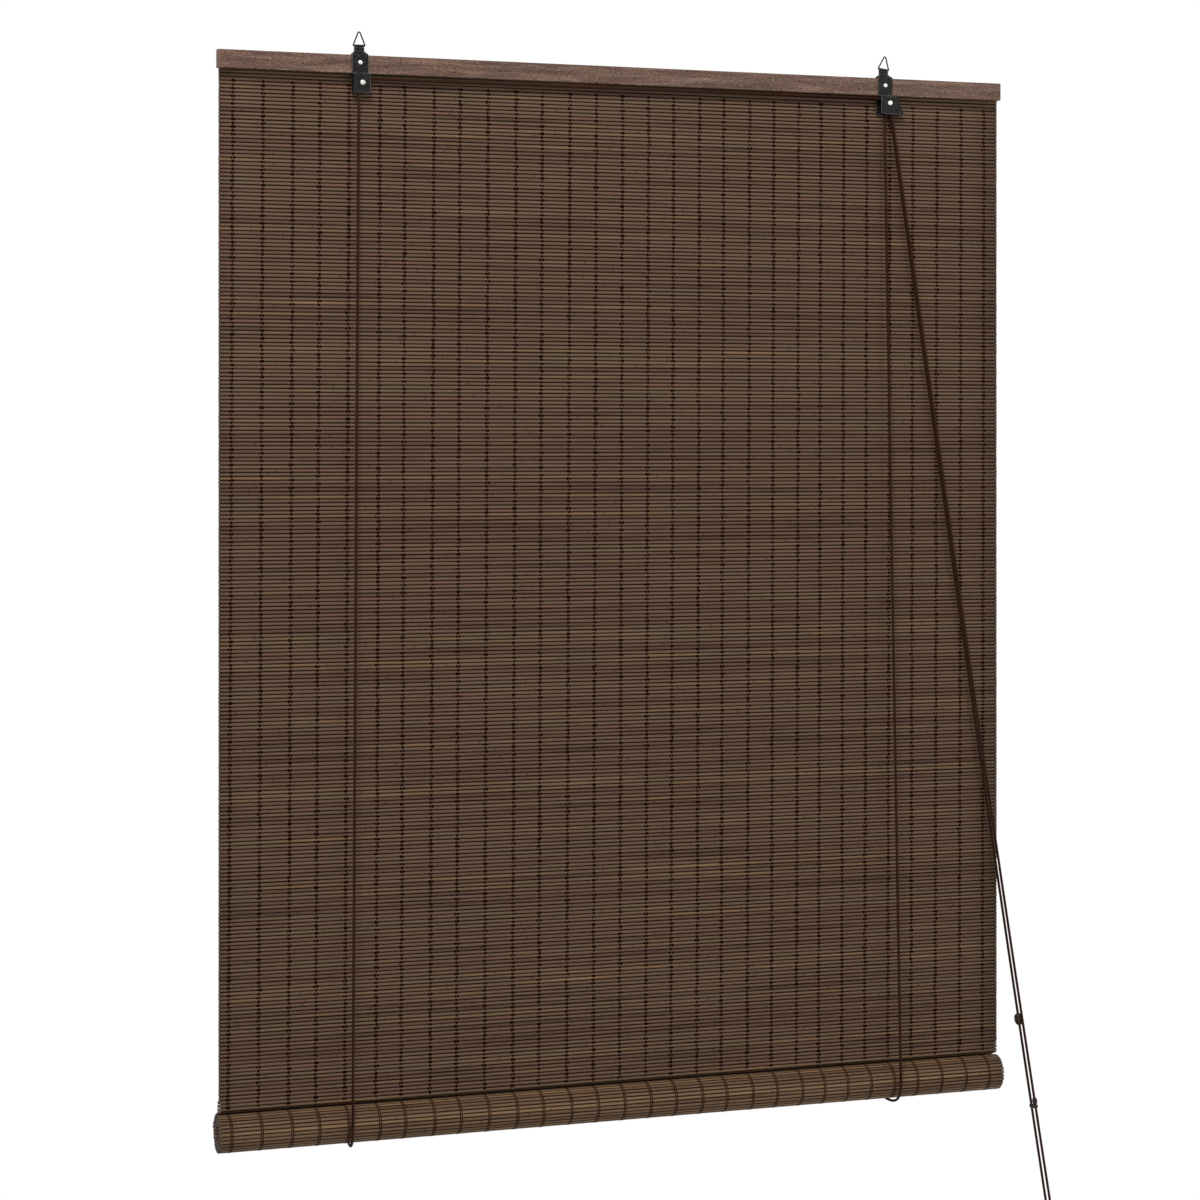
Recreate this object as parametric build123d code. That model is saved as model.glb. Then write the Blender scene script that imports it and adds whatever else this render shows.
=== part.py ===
from build123d import *
from math import asin, atan2, cos, degrees, hypot, pi, radians, sin, sqrt
import os

# Bamboo roll up blind, in millimetres. X runs along the head rail, Y points away
# from the room towards the window and Z points up. The origin lies midway between the
# two points where the hooks carry the wire rings.

# Head rail
RAIL_LENGTH = 1200.0
RAIL_HEIGHT = 25.7
RAIL_THICK = 12.0
RAIL_EDGE = 1.2

# Brackets along the rail
BRACKET_SPACING = 806.0
LEFT_OVERHANG = 201.5

# Sheet metal hanger straps
SHEET = 1.0
STRAP_WIDTH = 23.5
NECK_WIDTH = 14.6
EYE_WIDTH = 13.4
NECK_FOOT = 5.7
STRAP_BACK_DEPTH = 14.0
STRAP_BEND = 2.4
STRAP_CORNER = 2.0
STRAP_CLEAR = 0.2
NECK_BENT_BELOW = 3.5

# Wire rings
WIRE = 2.0
RING_WIDTH = 17.8
RING_CORNER_HEIGHT = 22.4
RING_TOP_BEND = 1.7
RING_FOOT_BEND = 1.3
RING_BAR_ABOVE_RAIL = 13.1
RIGHT_RING_LEAN = 7.5
EYE_CLEAR = 0.05

# Rivets
RIVET_SHAFT = 4.0
STRAP_RIVET_DEPTH = 10.6
STRAP_RIVET_HEAD = 6.6
AXLE_RIVET_HEAD = 7.8
RIVET_DOME = 1.5
RIVET_TAIL = 6.0
RIVET_TAIL_THICK = 0.5

# Housings under the rail
HOUSING_DEPTH = 11.8
HOUSING_HEIGHT = 26.0
HOUSING_DROP = 0.3
HOUSING_FOLD = 1.5
EAR_WIDTH = 12.0
EAR_HEIGHT = 20.0
EAR_CORNER = 3.0
PULLEY_HOUSING_LEFT = 9.7
PULLEY_HOUSING_RIGHT = 15.1
LOCK_HOUSING_LEFT = 6.0
LOCK_HOUSING_RIGHT_TOP = 19.5
LOCK_HOUSING_RIGHT_FOOT = 31.0
LOCK_FOOT_DROP = 1.6
LOCK_BACK_LEFT = 9.3
LOCK_BACK_DROP = 2.2
LOCK_CORD_OUT = 3.6
LIP_CORD_CLEAR = 0.3

# Pulley wheels
PULLEY_AXLE_X = 4.0
PULLEY_AXLE_DROP = 12.0
PULLEY_CORD_R = 5.2
LOCK_AXLE_X = 8.5
LOCK_AXLE_DROP = 10.0
LOCK_CORD_R = 6.5
WHEEL_SIDE_CLEAR = 0.3
WHEEL_BORE_CLEAR = 0.05
WHEEL_FLANGE = 2.9
GROOVE_SPACING = 4.2
GROOVE_CLEAR = 0.15

# Lock roller
ROLLER_DIA = 6.0
ROLLER_FLUTES = 14
ROLLER_FLUTE_DEPTH = 0.35
ROLLER_GAP = 0.12

# Cords
CORD_DIA = 3.8
CORD_WRAP_CLEAR = 0.3
ROLL_CORD_OUT_LEFT = 14.0
ROLL_CORD_OUT_RIGHT = 16.0
ROLL_CORD_DRIFT = 8.0

# Hanging mat
SLAT_PITCH = 5.3
SLAT_COUNT = 270
SLAT_THICK = 1.6
SLAT_GAP = 1.1
SLAT_GROOVE = 0.5
MAT_INSET_LEFT = 3.5
MAT_INSET_RIGHT = 0.5
MAT_TOP_DEPTH = 14.3

# Warp threads
THREAD_COLUMNS = 30
THREAD_MARGIN = 20.5
THREAD_WIDTH = 2.0
THREAD_THICK = 0.5

# Mat roll
ROLL_RADIUS = 28.3
ROLL_BEHIND_MAT = 0.8
ROLL_BELOW_MAT = 45.2
ROLL_TURN_PITCH = 2.9
ROLL_TURNS = 6.0
ROLL_JOIN_ANGLE = 30.0
TAIL_BEND = 11.0
BATTEN_WIDTH = 17.0
BATTEN_THICK = 8.0
BATTEN_CORNER = 2.0
BATTEN_INSET = 4.0

# Staples
CORD_STAPLE_WIRE = 1.2
CORD_STAPLE_WIDTH = 7.0
CORD_STAPLE_LEG = 9.0
CORD_STAPLE_DEPTH = 20.5
CORD_KNOT_DIA = 6.4
CORD_STAPLE_CLEAR = 0.15
MAT_STAPLE_WIDTH = 10.0
MAT_STAPLE_WIRE = 0.7
MAT_STAPLE_LEG = 6.0
MAT_STAPLE_DEPTH = 19.0
MAT_STAPLE_EVERY = 7

# Free ends of the pull cords: tilts above and below a slight bend, and how far they lean forward
PULL_LENGTH = 1690.0
PULL_BEND_DOWN = 1085.0
PULL_BEND_R = 1200.0
FRONT_PULL_TILT = 8.90
FRONT_LOWER_TILT = 9.50
FRONT_PULL_FORWARD = 0.0029
BACK_PULL_TILT = 8.81
BACK_LOWER_TILT = 9.43
LIP_BEND_R = 2.7
PULL_START = 3.0
BEAD_DOWN = 1376.0
BEAD_DIA = 13.4
BEAD_LENGTH = 18.5
CONNECTOR_DOWN = 1502.0
CONNECTOR_DIA = 7.6
CONNECTOR_LENGTH = 11.6
CONNECTOR_ARM_DIA = 6.4
CONNECTOR_ARM_DOWN = 8.0
CONNECTOR_ARM_END = 0.3
END_KNOT_DIA = 8.5


# Places that follow from the sizes above
CORD_R = CORD_DIA / 2
RING_SLANT = hypot(RING_WIDTH / 2, RING_CORNER_HEIGHT) / (RING_WIDTH / 2)
RING_APEX = RING_CORNER_HEIGHT - RING_TOP_BEND * (RING_SLANT - 1)
RING_BAR_Z = WIRE / 2 - RING_APEX
RAIL_TOP = RING_BAR_Z - RING_BAR_ABOVE_RAIL
RAIL_FOOT = RAIL_TOP - RAIL_HEIGHT
STRAP_FRONT = -(RAIL_THICK + 3 * SHEET) / 2
RAIL_FRONT = STRAP_FRONT + 2 * SHEET
RAIL_BACK = RAIL_FRONT + RAIL_THICK
RAIL_MID = (RAIL_FRONT + RAIL_BACK) / 2
LEFT_X = -BRACKET_SPACING / 2
RIGHT_X = BRACKET_SPACING / 2
RAIL_LEFT = LEFT_X - LEFT_OVERHANG
RAIL_RIGHT = RAIL_LEFT + RAIL_LENGTH
STRAP_RIVET_Z = RAIL_TOP - STRAP_RIVET_DEPTH
HOUSING_TOP = RAIL_FOOT - HOUSING_DROP
HOUSING_FOOT = HOUSING_TOP - HOUSING_HEIGHT
HOUSING_FRONT = RAIL_FRONT - SHEET
HOUSING_BACK = HOUSING_FRONT + HOUSING_DEPTH
HOUSING_MID = (HOUSING_FRONT + HOUSING_BACK) / 2
WHEEL_WIDTH = HOUSING_DEPTH - 2 * SHEET - 2 * WHEEL_SIDE_CLEAR
FRONT_GROOVE_Y = HOUSING_MID - GROOVE_SPACING / 2
BACK_GROOVE_Y = HOUSING_MID + GROOVE_SPACING / 2
PULLEY_X = LEFT_X + PULLEY_AXLE_X
PULLEY_Z = HOUSING_TOP - PULLEY_AXLE_DROP
LOCK_X = RIGHT_X + LOCK_AXLE_X
LOCK_Z = HOUSING_TOP - LOCK_AXLE_DROP
MAT_FRONT = RAIL_BACK
MAT_BACK = MAT_FRONT + SLAT_THICK
MAT_MID = (MAT_FRONT + MAT_BACK) / 2
MAT_TOP = RAIL_TOP - MAT_TOP_DEPTH
MAT_FOOT = MAT_TOP - SLAT_PITCH * SLAT_COUNT
MAT_LEFT = RAIL_LEFT + MAT_INSET_LEFT
MAT_RIGHT = RAIL_RIGHT - MAT_INSET_RIGHT
MAT_WIDTH = MAT_RIGHT - MAT_LEFT
ROLL_Y = MAT_MID + ROLL_BEHIND_MAT
ROLL_Z = MAT_FOOT - ROLL_BELOW_MAT
WRAP_R = ROLL_RADIUS + CORD_WRAP_CLEAR + CORD_R
CORD_STAPLE_Z = RAIL_TOP - CORD_STAPLE_DEPTH
MAT_STAPLE_Z = RAIL_TOP - MAT_STAPLE_DEPTH
BACK_CORD_Y = MAT_BACK + CORD_STAPLE_CLEAR + CORD_R
THREAD_PITCH = (MAT_WIDTH - 2 * THREAD_MARGIN) / (THREAD_COLUMNS - 1)


LEFT_CORD = (PULLEY_X, PULLEY_Z, PULLEY_CORD_R, FRONT_GROOVE_Y, -ROLL_CORD_OUT_LEFT)
RIGHT_CORD = (LOCK_X, LOCK_Z, LOCK_CORD_R, BACK_GROOVE_Y, ROLL_CORD_OUT_RIGHT)
FRONT_PULL = (FRONT_GROOVE_Y, FRONT_PULL_TILT, FRONT_LOWER_TILT, FRONT_PULL_FORWARD)
BACK_PULL = (BACK_GROOVE_Y, BACK_PULL_TILT, BACK_LOWER_TILT, 0.0)


def box_between(x0, x1, y0, y1, z0, z1):
    """A box given by its two corners."""
    size = Box(x1 - x0, y1 - y0, z1 - z0)
    return size.translate(((x0 + x1) / 2, (y0 + y1) / 2, (z0 + z1) / 2))


def plate(points, y0, y1):
    """A flat outline in X and Z, given thickness from y0 to y1."""
    face = make_face(Polyline(*[(x, 0, z) for x, z in points], close=True))
    return extrude(face, y1 - y0, dir=(0, 1, 0)).translate((0, y0, 0))


def cross_section(points, x0, x1):
    """A section in Y and Z, drawn out along X from x0 to x1."""
    face = make_face(Polyline(*[(0, y, z) for y, z in points], close=True))
    return extrude(face, x1 - x0, dir=(1, 0, 0)).translate((x0, 0, 0))


def rod_y(x, z, radius, y0, y1):
    """A round rod along Y."""
    return Solid.make_cylinder(radius, y1 - y0, Plane((x, y0, z), z_dir=(0, 1, 0)))


def turned_y(x, z, profile):
    """A turned piece about an axis along Y, from points of radius and y."""
    face = make_face(Polyline(*[(r, y, 0) for r, y in profile], close=True))
    return revolve(face, Axis.Y, 360).translate((x, 0, z))


def cord_along(points, radii):
    """A round cord along straight runs joined by tangent arcs."""
    print("cord radii", [round(r, 2) for r in radii])
    path = FilletPolyline(*points, radius=radii) if radii else Line(*points)
    start = Plane(path @ 0, z_dir=path % 0)
    return sweep(start * Circle(CORD_R), path=path)


def head_rail():
    """Wooden bar with softened edges and a hole for each strap rivet."""
    bar = box_between(RAIL_LEFT, RAIL_RIGHT, RAIL_FRONT, RAIL_BACK, RAIL_FOOT, RAIL_TOP)
    bar = fillet(bar.edges(), RAIL_EDGE)
    for x in (LEFT_X, RIGHT_X):
        bar -= rod_y(x, STRAP_RIVET_Z, RIVET_SHAFT / 2, RAIL_FRONT - 1, RAIL_BACK + 1)
    return bar


def strap_section():
    """Side view of the strap: two legs, sloped shoulders, a double neck and an eye."""
    back = RAIL_BACK + SHEET
    shoulder = RAIL_TOP + STRAP_CLEAR + SHEET
    neck = RAIL_TOP + NECK_FOOT
    tent = [(STRAP_FRONT, RAIL_FOOT - 10), (STRAP_FRONT, shoulder), (-SHEET, neck),
            (SHEET, neck), (back, shoulder), (back, RAIL_FOOT - 10)]
    outer = make_face(Polyline(*[(y, z) for y, z in tent], close=True))
    outer = fillet(outer.vertices().sort_by(Axis.Y)[2:4], STRAP_BEND)
    inner = offset(outer, amount=-SHEET, kind=Kind.INTERSECTION)
    neck_face = Pos(0, (neck - SHEET + RING_BAR_Z) / 2) * Rectangle(
        2 * SHEET, RING_BAR_Z - neck + SHEET)
    eye = Pos(0, RING_BAR_Z) * Circle(WIRE / 2 + EYE_CLEAR + SHEET)
    hole = Pos(0, RING_BAR_Z) * Circle(WIRE / 2 + EYE_CLEAR)
    section = outer - inner + neck_face + eye - hole
    section -= Pos(0, RAIL_FOOT - 30) * Rectangle(60, 60)
    below_back = Pos(back, RAIL_TOP - STRAP_BACK_DEPTH - 50) * Rectangle(2 * RAIL_THICK, 100)
    return section - below_back


def leaning(piece, lean):
    """Turns a piece in the plane of the blind about the middle of the ring's bar."""
    return piece.rotate(Axis((0, 0, RING_BAR_Z), (0, 1, 0)), lean)


def hanger_strap(x, lean):
    """Strap of one sheet, folded round the ring's bar and over the rail; its eye may lean."""
    shoulder = RAIL_TOP + STRAP_CLEAR
    neck = RAIL_TOP + NECK_FOOT
    top = RING_BAR_Z + WIRE + 2 * SHEET
    eye_foot = RING_BAR_Z - WIRE / 2 - SHEET / 2
    half, slim, eye = STRAP_WIDTH / 2, NECK_WIDTH / 2, EYE_WIDTH / 2
    right = [(half, RAIL_FOOT), (half, shoulder), (slim, neck), (slim, eye_foot), (eye, eye_foot), (eye, top)]
    outline = right + [(-x, z) for x, z in right[::-1]]
    face = make_face(Polyline(*outline, close=True))
    bends = [v for v in face.vertices() if shoulder - 1 < v.Y < neck + 1]
    face = fillet(bends, STRAP_CORNER)
    front_view = extrude(Plane.XZ * face, 40, both=True)
    across = extrude(Plane.YZ * strap_section(), STRAP_WIDTH, both=True)
    strap = front_view & across
    bend = RING_BAR_Z - NECK_BENT_BELOW
    upper = strap & box_between(-half, half, -half, half, bend, top)
    lower = strap - box_between(-half, half, -half, half, bend + SHEET, top)
    strap = (lower + leaning(upper, lean)).translate((x, 0, 0))
    return strap - rod_y(x, STRAP_RIVET_Z, RIVET_SHAFT / 2, -40, 40)


def hanging_ring(x, lean):
    """Triangular wire ring whose base bar turns in the strap's eye."""
    half = RING_WIDTH / 2
    corners = [(0, RING_BAR_Z), (half, RING_BAR_Z), (0, RING_BAR_Z + RING_CORNER_HEIGHT),
               (-half, RING_BAR_Z)]
    right = FilletPolyline(
        (0, 0, corners[0][1]), (half, 0, corners[1][1]),
        (half / 2, 0, RING_BAR_Z + RING_CORNER_HEIGHT / 2), radius=RING_FOOT_BEND)
    top = FilletPolyline(
        (half / 2, 0, RING_BAR_Z + RING_CORNER_HEIGHT / 2), (0, 0, corners[2][1]),
        (-half / 2, 0, RING_BAR_Z + RING_CORNER_HEIGHT / 2), radius=RING_TOP_BEND)
    left = FilletPolyline(
        (-half / 2, 0, RING_BAR_Z + RING_CORNER_HEIGHT / 2), (-half, 0, corners[3][1]),
        (0, 0, corners[0][1]), radius=RING_FOOT_BEND)
    wire = Wire(right.edges() + top.edges() + left.edges())
    ring = sweep(Plane((0, 0, RING_BAR_Z), z_dir=(1, 0, 0)) * Circle(WIRE / 2), path=wire)
    return leaning(ring, lean).translate((x, 0, 0))


def rivet(x, z, head, y_head, y_tail):
    """Rivet along Y with a domed head in front and a flat tail behind."""
    shaft = RIVET_SHAFT / 2
    crown = head * 0.25
    return turned_y(x, z, [
        (0, y_head - RIVET_DOME), (crown, y_head - RIVET_DOME * 0.92),
        (head * 0.42, y_head - RIVET_DOME * 0.55), (head / 2, y_head),
        (shaft, y_head), (shaft, y_tail), (RIVET_TAIL / 2, y_tail),
        (RIVET_TAIL / 2, y_tail + RIVET_TAIL_THICK), (0, y_tail + RIVET_TAIL_THICK)])


def housing(x, outline, pocket, fold_x, axle_x, axle_z):
    """Folded case: front and back plates joined by a side, with an ear behind the strap."""
    body = plate(outline, HOUSING_FRONT, HOUSING_BACK)
    folds = [e for e in body.edges() if abs((e % 0.5).Z) > 0.5 and abs((e @ 0.5).X - fold_x) < 0.1]
    body = fillet(folds, HOUSING_FOLD)
    body -= plate(pocket, HOUSING_FRONT + SHEET, HOUSING_BACK - SHEET)
    ear = RectangleRounded(EAR_WIDTH, 2 * EAR_HEIGHT, EAR_CORNER)
    ear = extrude(Plane.XZ * ear, SHEET, dir=(0, 1, 0)).translate((0, HOUSING_FRONT, HOUSING_TOP))
    ear -= box_between(-EAR_WIDTH, EAR_WIDTH, -50, 50, HOUSING_TOP - 2 * EAR_HEIGHT, HOUSING_TOP - 1)
    body = (body + ear).translate((x, 0, 0))
    body -= rod_y(x, STRAP_RIVET_Z, RIVET_SHAFT / 2, -50, 50)
    return body - rod_y(axle_x, axle_z, RIVET_SHAFT / 2, -50, 50)


def pulley_housing():
    """Square case of the left pulley, closed at its left side and open where its cords pass."""
    left, right = -PULLEY_HOUSING_LEFT, PULLEY_HOUSING_RIGHT
    outline = [(left, HOUSING_TOP), (right, HOUSING_TOP), (right, HOUSING_FOOT), (left, HOUSING_FOOT)]
    wall = left + SHEET
    pocket = [(wall, HOUSING_TOP + 5), (right + 5, HOUSING_TOP + 5), (right + 5, HOUSING_FOOT - 5),
              (wall, HOUSING_FOOT - 5)]
    return housing(LEFT_X, outline, pocket, left, PULLEY_X, PULLEY_Z)


def lock_side(z):
    """X of the lock housing's slanted outer side at height z, from its strap's centre."""
    share = (HOUSING_TOP - z) / HOUSING_HEIGHT
    return LOCK_HOUSING_RIGHT_TOP + share * (LOCK_HOUSING_RIGHT_FOOT - LOCK_HOUSING_RIGHT_TOP)


def lock_slant():
    """Unit vector down the slanted side, and the one that points out of it."""
    run = LOCK_HOUSING_RIGHT_FOOT - LOCK_HOUSING_RIGHT_TOP
    length = hypot(run, HOUSING_HEIGHT)
    down = Vector(run / length, 0, -HOUSING_HEIGHT / length)
    return down, Vector(-down.Z, 0, down.X)


def lock_housing():
    """Case of the cord lock: slanted side, a lip at its foot and a wider back plate."""
    left, back_foot = -LOCK_HOUSING_LEFT, HOUSING_FOOT - LOCK_BACK_DROP
    right_foot = HOUSING_FOOT - LOCK_FOOT_DROP
    outline = [(left, HOUSING_TOP), (lock_side(HOUSING_TOP), HOUSING_TOP),
               (lock_side(right_foot), right_foot), (left, HOUSING_FOOT)]
    wall = SHEET / lock_slant()[1].X
    lip = LOCK_AXLE_X + LOCK_CORD_OUT + CORD_R + LIP_CORD_CLEAR
    slope = LOCK_FOOT_DROP / (lock_side(right_foot) - left)
    floor = right_foot + SHEET
    pocket = [(left - 5, HOUSING_TOP + 5), (lock_side(HOUSING_TOP + 5) - wall, HOUSING_TOP + 5),
              (lock_side(floor) - wall, floor), (lip, floor + (lock_side(floor) - lip) * slope),
              (lip, HOUSING_FOOT - 5), (left - 5, HOUSING_FOOT - 5)]
    middle = lock_side((HOUSING_TOP + right_foot) / 2)
    case = housing(RIGHT_X, outline, pocket, middle, LOCK_X, LOCK_Z)
    back = [(-LOCK_BACK_LEFT, HOUSING_TOP), (left + SHEET, HOUSING_TOP), (left + SHEET, HOUSING_FOOT),
            (lip, HOUSING_FOOT), (lip, back_foot), (-LOCK_BACK_LEFT, back_foot)]
    return case + plate(back, HOUSING_BACK - SHEET, HOUSING_BACK).translate((RIGHT_X, 0, 0))


def wheel(x, z, cord_r, grooves):
    """Pulley wheel with round-bottomed grooves, turning on its axle rivet."""
    rim = cord_r + WHEEL_FLANGE - CORD_R
    y0, y1 = HOUSING_MID - WHEEL_WIDTH / 2, HOUSING_MID + WHEEL_WIDTH / 2
    body = rod_y(x, z, rim, y0, y1) - rod_y(x, z, RIVET_SHAFT / 2 + WHEEL_BORE_CLEAR, y0 - 1, y1 + 1)
    for y in grooves:
        gap = CORD_R + GROOVE_CLEAR
        slope = gap * (sqrt(2) - 1)
        body -= turned_y(x, z, [(rim + 1, y - gap), (cord_r - slope, y - gap), (cord_r - gap, y - slope),
                                (cord_r - gap, y + slope), (cord_r - slope, y + gap), (rim + 1, y + gap)])
    return body


def pull_direction(tilt, forward=0.0):
    """Unit vector down a cord with this tilt, and the one across it, away from the pulley."""
    a = radians(tilt)
    return Vector(sin(a), -forward, -cos(a)).normalized(), Vector(cos(a), 0, sin(a))


def lock_drop_tilt():
    """Tilt of the cords between the lock pulley and the edge of the lip that they bend over."""
    across, down = LOCK_CORD_OUT, LOCK_Z - HOUSING_FOOT - SHEET / 2
    return degrees(atan2(across, down) - asin(LOCK_CORD_R / hypot(across, down)))


def lock_corners(groove_y):
    """Corners of a cord's way over the lock pulley and down to the lip."""
    side, level = LOCK_X + LOCK_CORD_R, LOCK_Z + LOCK_CORD_R
    turn = radians(-lock_drop_tilt())
    second = LOCK_Z - LOCK_CORD_R * sin(turn / 2) / cos(turn / 2)
    lip = (LOCK_X + LOCK_CORD_OUT, groove_y, HOUSING_FOOT + SHEET / 2)
    return [(side, groove_y, level), (side, groove_y, second), lip]


def pull_start(pull):
    """Where a pull cord starts, just below the lip."""
    groove_y, tilt, lower_tilt, forward = pull
    return Vector(*lock_corners(groove_y)[2]) + pull_direction(tilt, forward)[0] * PULL_START


def pull_bend(pull):
    """Where a pull cord's two tilts meet."""
    groove_y, tilt, lower_tilt, forward = pull
    return pull_start(pull) + pull_direction(tilt, forward)[0] * PULL_BEND_DOWN


def pull_point(pull, down):
    """Point on the lower part of a pull cord, this far below its start."""
    return pull_bend(pull) + pull_direction(pull[2], pull[3])[0] * (down - PULL_BEND_DOWN)


def roller_centre():
    """Where the lock roller touches both the slanted side and the pull cords."""
    down, out = lock_slant()
    side = (lock_side(LOCK_Z) + RIGHT_X - LOCK_X) * out.X
    across = side - SHEET - ROLLER_GAP - ROLLER_DIA / 2
    reach = LOCK_CORD_R + CORD_R + ROLLER_GAP + ROLLER_DIA / 2
    return Vector(LOCK_X, 0, LOCK_Z) + out * across + down * sqrt(reach ** 2 - across ** 2)


def lock_roller():
    """Fluted roller that wedges the cords against the slanted side."""
    centre = roller_centre()
    points = []
    for k in range(2 * ROLLER_FLUTES):
        r = ROLLER_DIA / 2 - (k % 2) * ROLLER_FLUTE_DEPTH
        a = pi * k / ROLLER_FLUTES
        points.append((centre.X + r * cos(a), centre.Z + r * sin(a)))
    return plate(points, HOUSING_MID - WHEEL_WIDTH / 2, HOUSING_MID + WHEEL_WIDTH / 2)


def hanging_mat():
    """Flat part of the mat: one wall with a groove between each slat and the next."""
    half = SLAT_GAP / 2
    front, back = [], []
    for k in range(SLAT_COUNT):
        top = MAT_TOP - k * SLAT_PITCH
        foot = top - SLAT_PITCH
        front += [(MAT_FRONT, top - half), (MAT_FRONT, foot + half)]
        back += [(MAT_BACK, top - half), (MAT_BACK, foot + half)]
        if k < SLAT_COUNT - 1:
            front.append((MAT_FRONT + SLAT_GROOVE, foot))
            back.append((MAT_BACK - SLAT_GROOVE, foot))
    return cross_section(front + back[::-1], MAT_LEFT, MAT_RIGHT)


def mat_threads():
    """Columns of stitching in front of and behind the slats."""
    strips = []
    for k in range(THREAD_COLUMNS):
        x = MAT_LEFT + THREAD_MARGIN + k * THREAD_PITCH
        for y in (MAT_FRONT - THREAD_THICK, MAT_BACK):
            top = HOUSING_TOP if y < MAT_FRONT else MAT_TOP - SLAT_GAP
            strips.append(box_between(x - THREAD_WIDTH / 2, x + THREAD_WIDTH / 2,
                                      y, y + THREAD_THICK, MAT_FOOT + SLAT_GAP, top))
    return Compound(children=strips)


def roll_point(angle):
    """Middle of the mat's thickness on the spiral; the angle runs from the top to the back."""
    r = ROLL_RADIUS - SLAT_THICK / 2 - ROLL_TURN_PITCH * (angle - ROLL_JOIN_ANGLE) / 360
    return ROLL_Y + r * sin(radians(angle)), ROLL_Z + r * cos(radians(angle))


def roll_path():
    """Joints between slats, from the mat's foot, round the bend and down the spiral."""
    y1, z1 = roll_point(ROLL_JOIN_ANGLE)
    slope = radians(ROLL_JOIN_ANGLE)
    corner_z = z1 + (y1 - MAT_MID) * sin(slope) / cos(slope)
    turn = pi / 2 - slope
    cut = TAIL_BEND * sin(turn / 2) / cos(turn / 2)
    fine = []
    steps = 60
    for k in range(steps + 1):
        fine.append((MAT_MID, MAT_FOOT + (corner_z + cut - MAT_FOOT) * k / steps))
    for k in range(1, steps + 1):
        a = turn * k / steps
        fine.append((MAT_MID + TAIL_BEND * (1 - cos(a)), corner_z + cut - TAIL_BEND * sin(a)))
    y0, z0 = fine[-1]
    for k in range(1, steps + 1):
        fine.append((y0 + (y1 - y0) * k / steps, z0 + (z1 - z0) * k / steps))
    for k in range(1, int(360 * ROLL_TURNS) + 1):
        fine.append(roll_point(ROLL_JOIN_ANGLE + k))
    joints, travelled = [fine[0]], 0.0
    for (ya, za), (yb, zb) in zip(fine, fine[1:]):
        step = hypot(yb - ya, zb - za)
        while travelled + step >= SLAT_PITCH and step > 0:
            share = (SLAT_PITCH - travelled) / step
            ya, za = ya + (yb - ya) * share, za + (zb - za) * share
            joints.append((ya, za))
            step, travelled = hypot(yb - ya, zb - za), 0.0
        travelled += step
    return joints


def outer_slats():
    """How many slats lie on the tail and the outermost turn, where they are seen."""
    return int((2 * pi * ROLL_RADIUS + ROLL_RADIUS * 1.6) / SLAT_PITCH)


def mat_roll():
    """Rolled part of the mat, with its tail up to the hanging part: a spiral of flat slats."""
    joints = roll_path()
    half, gap = SLAT_THICK / 2, SLAT_GAP / 2
    outer, inner = [], []
    seen = outer_slats()
    for k, ((ya, za), (yb, zb)) in enumerate(zip(joints, joints[1:])):
        dy, dz = (yb - ya) / SLAT_PITCH, (zb - za) / SLAT_PITCH
        ny, nz = -dz, dy
        if k == 0:
            inner.append((ya - ny * half, za - nz * half))
            outer.append((ya + ny * half, za + nz * half))
        elif k < seen:
            outer.append((ya + ny * (half - SLAT_GROOVE), za + nz * (half - SLAT_GROOVE)))
        if k < seen:
            outer.append((ya + dy * gap + ny * half, za + dz * gap + nz * half))
            outer.append((yb - dy * gap + ny * half, zb - dz * gap + nz * half))
        else:
            outer.append((yb + ny * half, zb + nz * half))
        inner.append((yb - ny * half, zb - nz * half))
    return cross_section(outer + inner[::-1], MAT_LEFT, MAT_RIGHT)


def bottom_batten():
    """Wooden bar at the mat's lower end, inside the roll."""
    bar = extrude(Plane.YZ * RectangleRounded(BATTEN_THICK, BATTEN_WIDTH, BATTEN_CORNER),
                  MAT_WIDTH - 2 * BATTEN_INSET)
    return bar.translate((MAT_LEFT + BATTEN_INSET, ROLL_Y, ROLL_Z))


def front_run(pulley_x, pulley_z, cord_r, groove_y, out):
    """Ends of a lift cord's front run: beside its pulley and in front of the roll."""
    top = Vector(pulley_x - cord_r, groove_y, pulley_z)
    foot = Vector(top.X + out, ROLL_Y - WRAP_R, ROLL_Z)
    return top, foot


def back_run(front_foot, out):
    """Ends of a lift cord's run behind the mat: behind the roll and at its staple."""
    drift = ROLL_CORD_DRIFT if out < 0 else -ROLL_CORD_DRIFT
    foot = Vector(front_foot.X + drift, ROLL_Y + WRAP_R, ROLL_Z)
    top = Vector(front_foot.X - out, BACK_CORD_Y, CORD_STAPLE_Z)
    return foot, top


def transfer_cord():
    """Left lift cord's run over the left pulley, along the rail, over the lock pulley and out."""
    top, foot = front_run(*LEFT_CORD)
    slope = (LOCK_Z + LOCK_CORD_R - PULLEY_Z - PULLEY_CORD_R) / (LOCK_X - PULLEY_X)
    first = top + (top - foot).normalized() * PULLEY_CORD_R * (1 - slope)
    return cord_along([tuple(top), tuple(first)] + lock_corners(FRONT_GROOVE_Y) + [tuple(pull_start(FRONT_PULL))],
                      [PULLEY_CORD_R * 0.98, LOCK_CORD_R * 0.98, LOCK_CORD_R * 0.95, LIP_BEND_R])


def lock_cord_wrap():
    """Right lift cord's way over the lock pulley, from its left side to the lip and out."""
    top, foot = front_run(*RIGHT_CORD)
    first = top + (top - foot).normalized() * LOCK_CORD_R
    return cord_along([tuple(top), tuple(first)] + lock_corners(BACK_GROOVE_Y) + [tuple(pull_start(BACK_PULL))],
                      [LOCK_CORD_R * 0.98, LOCK_CORD_R * 0.98, LOCK_CORD_R * 0.95, LIP_BEND_R])


def lift_cord_front(cord):
    """Taut run of a lift cord in front of the mat."""
    top, foot = front_run(*cord)
    return cord_along([tuple(top), tuple(foot)], [])


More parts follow.
